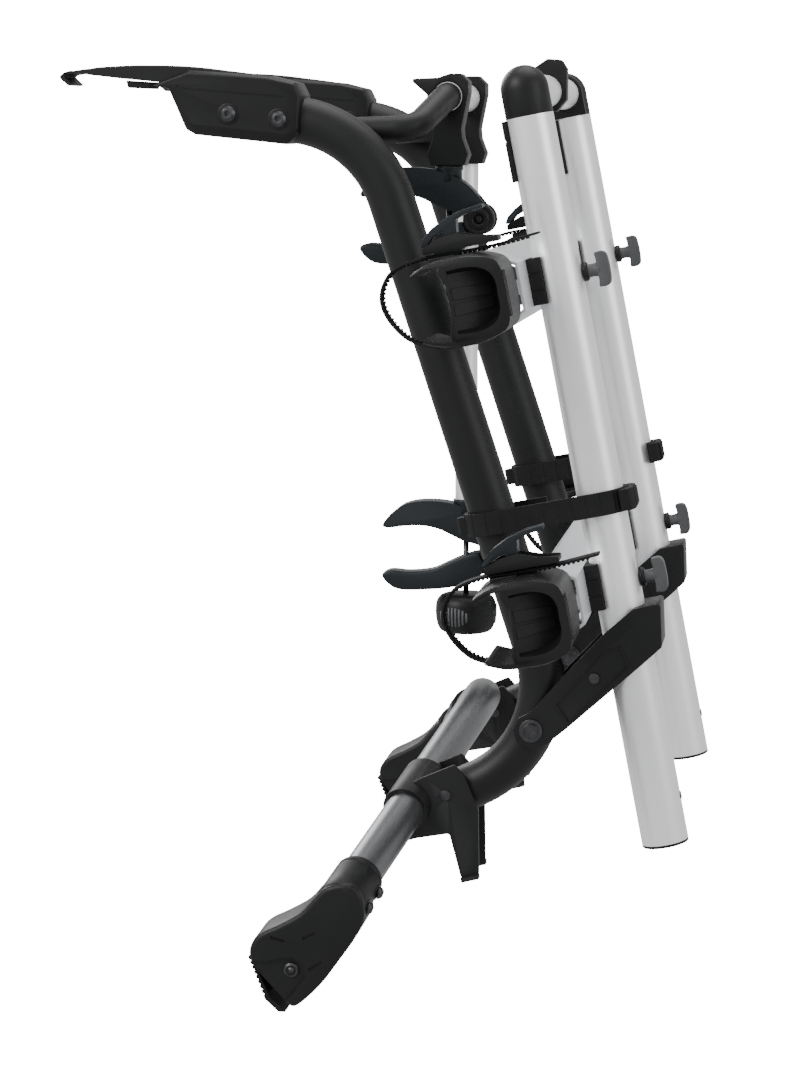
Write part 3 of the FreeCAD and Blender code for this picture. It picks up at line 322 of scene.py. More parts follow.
def smooth_line(corners, steps, closed=False):
    """A rounded line through 2-D corner points (Catmull-Rom), steps points per span."""
    line = []
    count = len(corners)
    spans = count if closed else count - 1
    for i in range(spans):
        if closed:
            a, b, c, d = (corners[(i + k) % count] for k in (-1, 0, 1, 2))
        else:
            a, b, c, d = (corners[min(max(i + k, 0), count - 1)] for k in (-1, 0, 1, 2))
        for step in range(steps):
            t = step / steps
            line.append(tuple(
                0.5 * (2 * q + (r - p) * t + (2 * p - 5 * q + 4 * r - s) * t * t
                       + (3 * q - p - 3 * r + s) * t ** 3) for p, q, r, s in zip(a, b, c, d)))
    if not closed:
        line.append(tuple(corners[-1]))
    return line


def spaced(line, gap):
    """Points at even spacing along a 2-D line, each with its direction."""
    spots = []
    travelled = 0.0
    target = 0.0
    for (ax, ay), (bx, by) in zip(line, line[1:]):
        span = math.hypot(bx - ax, by - ay)
        while span > 1e-6 and target <= travelled + span:
            t = (target - travelled) / span
            spots.append(((ax + (bx - ax) * t, ay + (by - ay) * t), ((bx - ax) / span, (by - ay) / span)))
            target += gap
        travelled += span
    return spots


def prism(mesh, corners, low, high, axis="Y"):
    """A solid from 2-D corners: (X, Z) drawn through along Y, or (X, Y) along Z; millimetres."""
    rings = []
    for level in (low, high):
        ring = []
        for a, b in corners:
            spot = (a, level, b) if axis == "Y" else (a, b, level)
            ring.append(mesh.verts.new([c * MM for c in spot]))
        rings.append(ring)
    count = len(corners)
    for i in range(count):
        j = (i + 1) % count
        mesh.faces.new((rings[0][i], rings[0][j], rings[1][j], rings[1][i]))
    mesh.faces.new(list(reversed(rings[0])))
    mesh.faces.new(rings[1])


def slab(mesh, corners, side, near, far):
    """A prism along Y between two distances on one side of the carrier."""
    prism(mesh, corners, *sorted((side * near, side * far)))


def mirrored(corners):
    """The corners with their second coordinate's sign changed."""
    return [(a, -b) for a, b in corners]


def ribbon(line, thickness):
    """The closed outline of a band that follows a 2-D line, thickened to its right."""
    spots = spaced(line, 1.0)
    inner = [spot for spot, way in spots]
    outer = [(x + dy * thickness, y - dx * thickness) for (x, y), (dx, dy) in spots]
    return inner + outer[::-1]


def turned(mesh, profile, place, segments=48):
    """A solid of revolution about place's own Z, from (radius, height) pairs in millimetres."""
    rings = []
    for radius, height in profile:
        ring = []
        for i in range(segments):
            angle = 2 * math.pi * i / segments
            spot = Vector((radius * math.cos(angle), radius * math.sin(angle), height)) * MM
            ring.append(mesh.verts.new(place @ spot))
        rings.append(ring)
    for first, second in zip(rings, rings[1:]):
        for i in range(segments):
            j = (i + 1) % segments
            mesh.faces.new((first[i], first[j], second[j], second[i]))
    mesh.faces.new(list(reversed(rings[0])))
    mesh.faces.new(rings[-1])


def lofted(mesh, rings, place=HERE):
    """Skin a row of equal rings of (x, y, z) corners and close both ends."""
    made = [[mesh.verts.new(place @ Vector([c * MM for c in spot])) for spot in ring] for ring in rings]
    count = len(made[0])
    for first, second in zip(made, made[1:]):
        for i in range(count):
            j = (i + 1) % count
            mesh.faces.new((first[i], first[j], second[j], second[i]))
    mesh.faces.new(list(reversed(made[0])))
    mesh.faces.new(made[-1])


def piece(name, mesh, slot, body, place=HERE, bevel=0.6, nodes=(), segments=2):
    """Turn a bmesh into a finished object that rides on a body."""
    bmesh.ops.recalc_face_normals(mesh, faces=mesh.faces)
    data = bpy.data.meshes.new(name)
    mesh.to_mesh(data)
    mesh.free()
    data.transform(place)
    obj = bpy.data.objects.new(name, data)
    bpy.context.scene.collection.objects.link(obj)
    dress(obj, slot)
    if bevel:
        round_off(obj, bevel, segments)
    for face in data.polygons:
        face.use_smooth = True
    if body:
        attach(obj, body)
    if nodes:
        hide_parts(*nodes)
    return obj


def finished(obj):
    """The object with its modifiers made part of the mesh."""
    for modifier in list(obj.modifiers):
        apply_modifier(obj, modifier.name)
    return obj


def apply_modifier(obj, name):
    """Make one modifier part of the object's mesh."""
    with bpy.context.temp_override(object=obj, active_object=obj, selected_objects=[obj]):
        bpy.ops.object.modifier_apply(modifier=name)


# ---- soft pieces --------------------------------------------------------

STRAP_LINE = [(-100, -40.2), (-112, -40), (-136, -28), (-152, -4), (-154, 18), (-140, 38), (-112, 45.4),
              (-80, 45.2), (-40, 45.5), (4, 49)]


def ladder_straps(rail):
    """Ratchet straps round the tyre: a flat band with a row of teeth on its outer face."""
    line = smooth_line(STRAP_LINE, 10)
    tooth = [(-1.6, 2.0), (1.6, 2.0), (1.1, 3.9), (-0.7, 3.9)]
    for title, side in SIDES.items():
        middle = side * STRAP_Y
        mesh = bmesh.new()
        prism(mesh, ribbon(line, 2.2), middle - 9.4, middle + 9.4)
        for (x, z), (dx, dz) in spaced(line, 4.6)[2:-2]:
            corners = [(x + dx * u + dz * v, z + dz * u - dx * v) for u, v in tooth]
            prism(mesh, corners, middle - 6.6, middle + 6.6)
        nodes = ("ladder_straps_" + rail,) if side < 0 else ()
        piece("ladder_strap_%s_%s" % (rail, title), mesh, "black_rubber", "rail_" + rail,
              on_platform(0, RAILS[rail]), 0.35, nodes)


def arc_line(centre, radius, start, end, count=24):
    """Points on an arc, angles in degrees."""
    points = []
    for i in range(count + 1):
        angle = math.radians(start + (end - start) * i / count)
        points.append((centre + radius * math.cos(angle), radius * math.sin(angle)))
    return points


def stow_strap(title):
    """A stretch band round the main tube and the tray tube."""
    side = SIDES[title]
    inner = 24.8
    line = [(-56, inner), (-80, inner)] + arc_line(-108, inner, 90, 270) + [(-80, -inner), (-40, -inner)]
    line += arc_line(0, inner, -90, 42)
    outline = []
    spots = spaced(line, 1.0)
    for i, ((x, y), (dx, dy)) in enumerate(spots):
        groove = i % 14 in (0, 1) and 6 < i < len(spots) - 6
        reach = 3.3 if groove else 4.1
        outline.append((x + dy * reach, y - dx * reach))
    band = [(x, y * -side) for x, y in [spot for spot, way in spots] + outline[::-1]]
    mesh = bmesh.new()
    prism(mesh, band, 219, 242, "Z")
    block = [(20, -27), (30, -27), (34, -20), (34, 16), (30, 22), (20, 24), (23, 12), (25, 0), (23, -14)]
    prism(mesh, [(x, y * -side) for x, y in block], 220, 241, "Z")
    tab = [(-133, -8), (-142, -7), (-145, -3), (-145, 3), (-142, 7), (-133, 8)]
    prism(mesh, tab, 222, 239, "Z")
    for step in range(3):
        rib = -14 + step * 12
        corners = [(33.4, rib), (35.2, rib + 1.5), (35.2, rib + 6.5), (33.4, rib + 8)]
        prism(mesh, [(x, y * -side) for x, y in corners], 222, 239, "Z")
    nodes = ("stow_straps",) if side < 0 else ()
    strap = finished(piece("stow_strap_" + title, mesh, "black_rubber", "frame", on_platform(side * TUBE_Y),
                           0.7, nodes))
    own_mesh(strap)


def hook_pads():
    """Ribbed rubber blocks under the hook arms, against the housings."""
    mesh = bmesh.new()
    lower = [(-402, 628.6)]
    for i in range(4):
        x = -399.4 + i * 5.0
        level = 628.4 - (x + 402) * 0.045
        lower += [(x, level), (x + 0.5, level + 1.2), (x + 1.7, level + 1.2), (x + 2.2, level - 0.1)]
    corners = [(-404, 635.8)] + lower + [(-380, 627.6), (-378.6, 634.2)]
    for side in SIDES.values():
        prism(mesh, corners, side * TUBE_Y - 19.4, side * TUBE_Y + 19.4)
    piece("hook_rubbers", mesh, "black_rubber", "frame", bevel=0.5, nodes=("hook_pads",))


def bumper_strips():
    """Rubber on the tray tubes, on the side that meets the frame: a ribbed shell with a groove across it."""
    mesh = bmesh.new()
    steps = 40
    corner_drop = {0: 1.6, 1: 0.5}
    for side in SIDES.values():
        low, high = (118, 206) if side < 0 else (154, 242)
        angles = [math.radians(low + (high - low) * i / steps) for i in range(steps + 1)]
        for start, end, sink in ((552.6, 611.3, 1.0), (552.3, 591.6, 0), (593.8, 611.6, 0)):
            reaches = []
            for i in range(steps + 1):
                groove = 0.5 if i % 5 == 0 else 0
                reaches.append(28.2 - corner_drop.get(min(i, steps - i), 0) - groove - sink)
            ring = list(zip(reaches, angles)) + [(TRAY_FIT, angle) for angle in reversed(angles)]
            corners = [(reach * math.cos(angle), reach * math.sin(angle) + side * TUBE_Y)
                       for reach, angle in ring]
            prism(mesh, corners, start, end, "Z")
    piece("bumper_rubbers", mesh, "black_rubber", "platform", PLATFORM, 0.5, ("bumper_strips",))


def rail_saddles(rail):
    """Rubber blocks between the rail and the tray tubes, grooved twice."""
    mesh = bmesh.new()
    for side in SIDES.values():
        section = [(-27.3, -24.9), (-14.5, -24.9), (-13.5, -23.5), (-13.5, -19.3)]
        for i in range(25):
            angle = math.radians(235.2 - 110.4 * i / 24)
            section.append((TRAY_FIT * math.cos(angle), TRAY_FIT * math.sin(angle)))
        section += [(-13.5, 19.3), (-13.5, 23.5), (-14.5, 24.9), (-27.3, 24.9)]
        block = [(x, y + side * TUBE_Y) for x, y in section]
        for low, high in ((-22.8, -9.2), (-7.6, 7.6), (9.2, 22.8)):
            prism(mesh, block, RAILS[rail] + low, RAILS[rail] + high, "Z")
        core = [(max(x, -26.5), max(-24.1, min(24.1, y)) + side * TUBE_Y) for x, y in section]
        prism(mesh, core, RAILS[rail] - 22, RAILS[rail] + 22, "Z")
    node_name = "rail_saddles_" + rail
    piece("saddle_rubbers_" + rail, mesh, "black_rubber", BODY_OF[node_name], PLATFORM, 0.6, (node_name,))


def foot_rubber(title):
    """The foot: a ribbed rubber face, a web and the boss round its pin."""
    mesh = bmesh.new()
    face = []
    first, last = Vector((-250, -190)), Vector((-234, -231))
    across = (last - first).normalized()
    out = Vector((across.y, -across.x))
    for i in range(8):
        start = first + across * (3 + i * 5.0)
        for along, depth in ((0, 0), (0.5, 1.4), (1.7, 1.4), (2.2, 0)):
            face.append(tuple(start + across * along - out * depth))
    corners = [(-250, -190)] + face + [(-234, -231), (-221, -243), (-214, -243), (-220, -236),
                                       (-229, -229), (-246, -190)]
    middle = SIDES[title] * FOOT_Y
    prism(mesh, corners, middle - 23.8, middle + 23.8)
    web = [(-246, -193), (-204, -190), (-199, -203), (-231, -227)]
    for offset in (-8.5, 3.5):
        prism(mesh, web, middle + offset, middle + offset + 5)
    sideways = crossways(-207, middle - 33, -199)
    turned(mesh, [(5, 0), (5, 66)], sideways, 32)
    turned(mesh, [(8.2, 24), (9, 25), (9, 41), (8.2, 42)], sideways, 32)
    heads = bmesh.new()
    turned(heads, [(3, -0.4), (3, 0.4), (6.6, 0.4), (7.4, 1.2), (7.4, 2.6)], sideways, 40)
    turned(heads, [(7.4, 64.4), (7.4, 65.8), (6.6, 66.6), (3, 66.6), (3, 65.8)], sideways, 40)
    piece("foot_pin_" + title, heads, "screw_steel", "foot_" + title, bevel=0)
    piece("foot_rubber_" + title, mesh, "black_rubber", "foot_" + title, bevel=0.5,
          nodes=("foot_pad_" + title,))


# ---- moulded pieces -----------------------------------------------------

def carved(obj, cutters):
    """Cut each cutter's volume out of the object, then drop the cutter."""
    for cutter in cutters:
        cut = obj.modifiers.new("cut", "BOOLEAN")
        cut.operation = "DIFFERENCE"
        cut.solver = "MANIFOLD"
        cut.object = cutter
        apply_modifier(obj, cut.name)
        bpy.data.objects.remove(cutter)


def shaded(obj, degrees=34):
    """Smooth shading that breaks only at sharp edges."""
    mesh = bmesh.new()
    mesh.from_mesh(obj.data)
    bmesh.ops.remove_doubles(mesh, verts=mesh.verts, dist=SEAM)
    limit = math.radians(degrees)
    for edge in mesh.edges:
        edge.smooth = len(edge.link_faces) == 2 and edge.calc_face_angle(0) < limit
    for face in mesh.faces:
        face.smooth = True
    mesh.to_mesh(obj.data)
    mesh.free()


def loose(build):
    """An object that isn't part of the frame, to cut others with."""
    mesh = bmesh.new()
    build(mesh)
    bmesh.ops.recalc_face_normals(mesh, faces=mesh.faces)
    data = bpy.data.meshes.new("cutter")
    mesh.to_mesh(data)
    mesh.free()
    obj = bpy.data.objects.new("cutter", data)
    bpy.context.scene.collection.objects.link(obj)
    return obj


def prism_cutter(corners, low, high):
    """A prism along Y, to cut others with."""
    return loose(lambda mesh: prism(mesh, corners, low, high))


def settled(obj, node_name):
    """Shade a carved piece and put it in its CAD node's place."""
    shaded(obj)
    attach(obj, BODY_OF[node_name])
    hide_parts(node_name)


def crossways(x, y, z):
    """A place whose own Z points across the car."""
    return Matrix.Translation(Vector((x, y, z)) * MM) @ Matrix.Rotation(-math.pi / 2, 4, "X")


def upright(x, y, z):
    """A place whose own Z points up."""
    return Matrix.Translation(Vector((x, y, z)) * MM)


UPPER_CLAW = [(-90, 24), (-84, 34), (-70, 46), (-54, 51), (-34, 52), (-16, 50), (2, 45), (18, 36), (34, 20),
              (44, 4), (40, -8), (26, -9), (16, 4), (-1, 9), (-16, 16), (-30, 22), (-48, 25), (-68, 24),
              (-82, 22)]
LOWER_CLAW = [(-91, -30), (-82, -25), (-62, -26), (-37, -23), (-17, -14), (2, -6), (16, -4), (20, -18),
              (14, -32), (-9, -41), (-37, -45), (-70, -46), (-84, -40)]


def claw(name, arm, corners):
    """A claw's rounded leaf, from corners about the arm's clamp centre."""
    across, height = ARMS[arm]
    line = smooth_line(corners, 5, closed=True)
    mesh = bmesh.new()
    prism(mesh, [(HOLD_X + x, height + z) for x, z in line], across - 12.4, across + 12.4)
    return finished(piece(name, mesh, "slate_plastic", None, bevel=4.2, segments=5))


def slot_cutter(arm, reach, low, high, half):
    """A box round a stretch of the arm's clamp centre line, to cut a slot with."""
    across, height = ARMS[arm]
    start, end = reach
    corners = [(HOLD_X + start, height + low), (HOLD_X + end, height + low),
               (HOLD_X + end, height + high), (HOLD_X + start, height + high)]
    return prism_cutter(corners, across - half, across + half)


def upper_jaw(arm):
    """The fixed claw: crowned leaf, socket collar, fork and a ringed pivot disc."""
    across, height = ARMS[arm]
    pivot = crossways(PIVOT_X, across, height)
    jaw = claw("jaw_upper_" + arm, arm, UPPER_CLAW)
    carved(jaw, [loose(lambda m: turned(m, [(22, -6.7), (22, 6.7)], pivot)),
                 slot_cutter(arm, (-14, 46), -39, 1, 6.7)])
    settled(jaw, "jaw_body_" + arm)
    mesh = bmesh.new()
    rings = [(5, 14.6), (6.5, 16), (10.2, 16), (10.8, 15.1), (12.4, 15.1), (13, 16), (14.8, 16), (16, 14.8)]
    turned(mesh, [(4.9, 7)] + rings + [(16, 7)], pivot)
    turned(mesh, [(16, -7)] + mirrored(reversed(rings)) + [(4.9, -7)], pivot)
    turned(mesh, [(5, -14), (5, 14)], pivot, 32)
    piece("jaw_disc_" + arm, mesh, "black_plastic", BODY_OF["jaw_body_" + arm], bevel=0)
    mesh = bmesh.new()
    collar = [(12.1, 38), (13.0, 38), (13.0, 48.5), (14.2, 50), (14.2, 53), (13.4, 54), (12.1, 54)]
    turned(mesh, collar, upright(HOLD_X, across, height))
    piece("jaw_collar_" + arm, mesh, "slate_plastic", BODY_OF["jaw_body_" + arm], bevel=0)


def lower_jaw(arm):
    """The moving claw with its tongue round the pin and the slot for the screw."""
    across, height = ARMS[arm]
    pivot = crossways(PIVOT_X, across, height)
    jaw = claw("jaw_lower_" + arm, arm, LOWER_CLAW)
    carved(jaw, [loose(lambda m: turned(m, [(17.5, -20), (17.5, 20)], pivot)),
                 slot_cutter(arm, (-14, 14), -60, 20, 4)])
    settled(jaw, "jaw_claw_" + arm)
    mesh = bmesh.new()
    tongue = [(8, -9), (24, 4), (38, 8), (42, -6), (20, -27), (14, -29), (14, -20)]
    prism(mesh, [(HOLD_X + x, height + z) for x, z in tongue], across - 6.4, across + 6.4)
    turned(mesh, [(13.9, -6.4), (13.9, 6.4)], pivot)
    piece("jaw_tongue_" + arm, mesh, "slate_plastic", BODY_OF["jaw_claw_" + arm], bevel=0.5)


def clamp_knob(arm):
    """A domed knob whose sides carry three ribbed grips in a lighter plastic."""
    across, height = ARMS[arm]
    centre = upright(HOLD_X, across, height)
    body = BODY_OF["clamp_knob_" + arm]
    side_line = [(20, -49.5), (26, -51), (31, -56), (33, -64), (32.6, -76), (30, -86), (25, -91), (14, -93)]
    mesh = bmesh.new()
    turned(mesh, smooth_line(side_line, 4), centre, 72)
    shaded(piece("clamp_dome_" + arm, mesh, "black_plastic", body, bevel=0, nodes=("clamp_knob_" + arm,)), 50)
    mesh = bmesh.new()
    turned(mesh, [(3, -52), (3, 20)], centre, 24)
    piece("clamp_screw_" + arm, mesh, "screw_steel", body, bevel=0)
    mesh = bmesh.new()
    for third in range(3):
        for rib in range(-4, 5):
            angle = math.radians(250 + 120 * third + rib * 7)
            reach = 10.5 * math.sqrt(max(0.05, 1 - (rib / 4.6) ** 2))
            out = Vector((math.cos(angle), math.sin(angle), 0))
            along = Vector((-out.y, out.x, 0))
            foot, top = [], []
            for z, r in ((-72 + reach, 32.9), (-72, 32.95), (-72 - reach, 31.7)):
                for face in (-1, 1):
                    foot.append(out * r + along * face * 1.35 + Vector((0, 0, z)))
                    top.append(out * (r + 0.8) + along * face * 0.8 + Vector((0, 0, z)))
            loop = (0, 2, 4, 5, 3, 1)
            lofted(mesh, [[foot[i] for i in loop], [top[i] for i in loop]], centre)
    piece("clamp_grip_" + arm, mesh, "grey_plastic", body, bevel=0)


def cup_section(depth, spread):
    """The trough's section at one depth: half of its outside and inside, mirrored about the middle."""
    half = [(-31, 0), (-31, 12), (-32, 22), (-38, 33), (-60, 41 + spread), (-84, 41 + spread),
            (-100, 39 + spread), (-113, 34 + spread), (-116, 31), (-114, 28), (-102, 33), (-88, 34.5)]
    inner = [(-88 if depth > 80 else -70, 34), (-depth - 5, 28), (-depth - 1, 18), (-depth, 8), (-depth, 0)]
    ring = half + inner
    return smooth_line(ring + mirrored(reversed(ring[1:-1])), 3, closed=True)


def wheel_cup(rail, title):
    """The moulded scoop at a rail's end, with its ramp, outer ribs, tongue and strap lugs."""
    side = SIDES[title]
    name = "wheel_cup_%s_%s" % (rail, title)
    place = on_platform(0, RAILS[rail])
    stations = [(309.2, 43, 0), (316, 46, 0), (330, 54, 0), (346, 63, 0), (362, 71, 0), (378, 78, 0),
                (390, 82, 0), (397, 84, -0.8), (399.8, 84.5, -2.2)]
    mesh = bmesh.new()
    lofted(mesh, [[(x, side * y, z) for x, z in cup_section(depth, spread)] for y, depth, spread in stations])
    cup = finished(piece(name + "_shell", mesh, "black_plastic", None, place, 1.0, (), 3))
    rim = [(-39, 0), (-39, 12), (-43, 22), (-52, 28), (-64, 30.5), (-81.5, 30.5)]
    rim = smooth_line(rim, 4)
    rim += mirrored(reversed(rim[1:]))
    throat = [(-41 + (x + 38) * 0.985, side * (373 - (x + 39) * 0.52), z * 0.86) for x, z in rim]
    mouth = [(x, side * 401.5, z) for x, z in rim]
    scoop = loose(lambda m: lofted(m, [throat, mouth]))
    scoop.data.transform(place)
    carved(cup, [scoop])
    settled(cup, name)
    mesh = bmesh.new()
    rib = [(-44, 35.5), (-60, 41.6), (-84, 41.8), (-99, 39.6), (-110, 35), (-108, 34.2), (-60, 38)]
    for y in (326, 371, 386):
        for corners in (mirrored(rib), rib):
            slab(mesh, corners, side, y, y + 2.6)
    lug = [(-101.8, -15), (-99, -15.9), (-79, -15.9), (-76.2, -13), (-76.2, 13), (-79, 15.9),
           (-99, 15.9), (-101.8, 15)]
    for low, high in ((-42.9, -37), (37, 42.9)):
        lofted(mesh, [[(x, side * STRAP_Y + y, z) for x, y in lug] for z in (low, high)])
    nest = [(-35.3, 17), (-52, 28.8), (-77.8, 30.8), (-77.8, 27.2), (-54, 25.2), (-38, 14)]
    slab(mesh, nest + mirrored(reversed(nest)), side, 244.2, 311)
    for y in (262, 280, 298):
        for x in (-47, -60):
            bead = [(x, 24), (x - 2, 24), (x - 2, 27), (x, 27)]
            slab(mesh, mirrored(bead), side, y, y + 6)
            slab(mesh, bead, side, y, y + 6)
    panel = [(-46, 376.2), (-82, 394.7), (-82, 391.2), (-46, 372.7)]
    for ends in ((-11, -1.2), (1.2, 11)):
        lofted(mesh, [[(x, side * y, z * (1 - (x + 46) * 0.006)) for x, y in panel] for z in ends])
    band = [(-30.4, -21.5), (-34.4, -21.5), (-34.4, 21.5), (-30.4, 21.5)]
    for y in (392.5, 383.5):
        slab(mesh, band, side, y, y + 4)
    piece(name + "_ribs", mesh, "black_plastic", BODY_OF[name], place, 0.7)


BAR_DOWN = Vector((-math.cos(BAR_DROP), 0, -math.sin(BAR_DROP)))


def bar_end(reach, side):
    """A point on the foot bar's straight end and its heading, in millimetres."""
    start = BAR_RADIUS * math.sin(BAR_ARC)
    fall = BAR_RADIUS * (1 - math.cos(BAR_ARC)) + (reach - start) * math.tan(BAR_ARC)
    heading = Vector((0, side * math.cos(BAR_ARC), 0)) + BAR_DOWN * math.sin(BAR_ARC)
    return Vector((-80, side * reach, -18)) + BAR_DOWN * fall, heading


def facing(spot, way):
    """A place at a spot in millimetres whose own Z points along a direction."""
    return Matrix.Translation(spot * MM) @ way.to_track_quat("Z", "Y").to_matrix().to_4x4()


def foot_boot(title):
    """The shoe: a sleeve that flows into a rounded boot, open in front for the rubber foot."""
    side = SIDES[title]
    name = "foot_shoe_" + title
    outline = [(-172, -117), (-184, -128), (-198, -143), (-218, -155), (-237, -165), (-246, -177),
               (-246, -190), (-238, -203), (-222, -220), (-211, -232), (-203, -234.5), (-190, -224),
               (-176, -209), (-160, -187), (-145, -165), (-137, -148), (-139, -126), (-150, -114)]
    mesh = bmesh.new()
    prism(mesh, smooth_line(outline, 4, closed=True), side * SHOE_Y - 31.8, side * SHOE_Y + 31.8)
    boot = finished(piece(name + "_boot", mesh, "black_plastic", None, bevel=9, segments=6))
    window = [(-262, -183), (-224, -178), (-200, -187), (-190, -205), (-207, -246), (-262, -246)]
    cutters = [prism_cutter(window, side * FOOT_Y - 25, side * FOOT_Y + 25)]
    for slit in ([(-226, -166), (-213, -169), (-213, -171.5), (-226, -168.5)],
                 [(-196, -166), (-184, -160), (-183, -162.5), (-195, -168.5)],
                 [(-190, -196), (-178, -188), (-177, -190.5), (-189, -198.5)]):
        cutters.append(prism_cutter(slit, *sorted((side * 424.4, side * 427))))
    arch = [(-262, -246), (-224, -246), (-216, -234), (-203, -219), (-193, -204), (-195, -192), (-205, -186),
            (-218, -187), (-230, -191), (-262, -192)]
    for face in (-1, 1):
        cutters.append(prism_cutter(arch, *sorted((side * SHOE_Y + face * 28.2, side * SHOE_Y + face * 33))))
    carved(boot, cutters)
    settled(boot, name)
    centre, heading = bar_end(366, side)
    mesh = bmesh.new()
    sleeve = [(19.55, 0), (22.6, 0), (23.6, 0.8), (24, 2.2), (24, 6), (23.4, 6.8), (23.4, 8.4), (24, 9.2),
              (24, 40), (24, 52), (22, 56), (19.55, 57)]
    turned(mesh, sleeve, facing(centre, heading), 72)
    for reach in (378, 404):
        spot, way = bar_end(reach, side)
        out = Vector((0.92, 0, -0.25)).normalized()
        out = (out - way * out.dot(way)).normalized()
        turned(mesh, [(9, 0), (8.6, 4.6), (8, 5.6), (4.6, 5.6)], facing(spot + out * 18, out), 40)
    piece(name + "_sleeve", mesh, "black_plastic", BODY_OF[name], bevel=0)


BLADE_TOP = [(-466, 643.2), (-450, 646), (-425, 648.6), (-388, 649.8), (-340, 648.3), (-288, 642.3),
             (-256, 637.5)]


def hook_blade(title):
    """A pressed steel arm: a crowned top, two flanges that deepen to the housing, a hooked nose."""
    middle = SIDES[title] * TUBE_Y
    top = smooth_line(BLADE_TOP, 8)
    mesh = bmesh.new()
    under = [(x, z - 2.6) for x, z in reversed(top)]
    prism(mesh, top + under, middle - 22.8, middle + 22.8)
    rise = [(x, z) for x, z in top if x > -452]
    flange = [(x, z - 0.4) for x, z in rise] + [(-256, 628.5), (-300, 630.4), (-352, 632), (-378, 634.6),
                                                (-410, 637.6), (-440, 641), (-451, 643)]
    for low, high in ((-23, -20), (20, 23)):
        prism(mesh, flange, middle + low, middle + high)
    crown = [(x, z) for x, z in top if -440 < x < -262]
    prism(mesh, [(x, z + 0.9) for x, z in crown] + [(x, z - 1) for x, z in reversed(crown)],
          middle - 9, middle + 9)
    nose = [(-459, 645.4), (-466, 643.4), (-470, 639.8), (-469.6, 637.6), (-461.5, 630.6), (-458, 631.2),
            (-458.4, 633), (-465.4, 639.2), (-462, 642.4), (-456, 643.6)]
    prism(mesh, nose, middle - 22.8, middle + 22.8)
    piece("hook_arm_" + title, mesh, "black_steel", BODY_OF["hook_blade_" + title], bevel=0.6,
          nodes=("hook_blade_" + title,))


def hook_housing(title):
    """The moulded block: a chamfered lower edge, a rolled groove and an end boss."""
    middle = SIDES[title] * TUBE_Y
    name = "hook_housing_" + title
    full = [(-377, 631), (-360, 627), (-343, 588), (-334, 583), (-243, 573.5), (-230, 584), (-228, 621),
            (-234, 633), (-262, 640), (-340, 646)]
    cheek = [(-374, 631), (-359, 628), (-345, 597), (-335, 592), (-243, 583), (-232, 588), (-230.5, 620),
             (-236, 631.5), (-262, 637), (-340, 642.5)]
    mesh = bmesh.new()
    layers = ((-29, cheek), (-23, full), (23, full), (29, cheek))
    lofted(mesh, [[(x, middle + y, z) for x, z in ring] for y, ring in layers])
    block = finished(piece(name + "_block", mesh, "black_plastic", None, bevel=1.4, segments=3))
    groove = [(-352, 629), (-345, 626.2), (-246, 618.2), (-245, 620), (-344, 628.2), (-351, 631)]
    carved(block, [prism_cutter(groove, middle - 31, middle - 28.2),
                   prism_cutter(groove, middle + 28.2, middle + 31)])
    shaded(block, 24)
    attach(block, BODY_OF[name])
    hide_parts(name)
    mesh = bmesh.new()
    for face in (-1, 1):
        boss = crossways(-238.5, middle + face * 26, 626.5)
        turned(mesh, [(0.5, -2.6), (4.4, -2.6), (5, -2), (5, 2), (4.4, 2.6), (0.5, 2.6)], boss, 36)
    for x, z in ((-300, 603), (-250, 598)):
        for face in (-1, 1):
            washer = crossways(x, middle + face * 29.2, z)
            turned(mesh, [(8.2, -0.5), (10.2, -0.5), (10.6, -0.2), (10.6, 0.3), (8.2, 0.5)], washer, 48)
    piece(name + "_trim", mesh, "black_plastic", BODY_OF[name], bevel=0)


def link_frames(title):
    """Raised borders round the sunk panels on the link's cheeks."""
    side = SIDES[title]
    corners = [(25, 27), (37, 10), (95, 66), (87, 85), (72, 80)]
    middle = Vector((sum(x for x, z in corners) / 5, sum(z for x, z in corners) / 5))
    mesh = bmesh.new()
    for face in (-1, 1):
        start = side * TUBE_Y + face * 28.2
        end = side * TUBE_Y + face * 29.9
        rings = []
        for grow, level in ((-0.2, start), (-0.2, end), (2.0, end), (2.0, start)):
            ring = []
            for x, z in corners:
                way = (Vector((x, z)) - middle).normalized()
                ring.append(mesh.verts.new(Vector((x + way.x * grow, level, z + way.y * grow)) * MM))
            rings.append(ring)
        for first, second in zip(rings, rings[1:] + rings[:1]):
            for i in range(5):
                j = (i + 1) % 5
                mesh.faces.new((first[i], first[j], second[j], second[i]))
    piece("link_frame_" + title, mesh, "black_steel", BODY_OF["fold_link_" + title], bevel=0.4)


def rail_knob(rail, title):
    """A clamp knob: a rounded double-winged handle, a waisted stem and a black collar."""
    side = SIDES[title]
    name = "rail_knob_%s_%s" % (rail, title)
    place = on_platform(side * TUBE_Y, RAILS[rail])
    outward = Matrix.Rotation(math.pi / 2, 4, "Y")
    mesh = bmesh.new()
    turned(mesh, [(7.4, 27), (6.6, 29), (6.2, 33), (6.8, 37), (8.2, 40)], outward, 40)
    wings = [(38, -9), (37.4, -16), (40, -17), (45, -17), (48.6, -14), (49.8, -6), (49.8, 6), (48.6, 14),
             (45, 17), (40, 17), (37.4, 16), (38, 9), (37.2, 0)]
    prism(mesh, smooth_line(wings, 5, closed=True), -7.2, 7.2)
    settled(finished(piece(name + "_handle", mesh, "grey_plastic", None, place, 2.6, (), 4)), name)
    mesh = bmesh.new()
    turned(mesh, [(8.9, 23.6), (9.4, 24.2), (9.4, 27), (8.4, 28.6), (6.4, 28.6)], place @ outward, 48)
    piece(name + "_collar", mesh, "black_plastic", BODY_OF[name], bevel=0)
    mesh = bmesh.new()
    turned(mesh, [(3.4, -34), (3.9, -33.4), (3.9, 30)], place @ outward, 24)
    piece(name + "_stud", mesh, "screw_steel", BODY_OF[name], bevel=0)


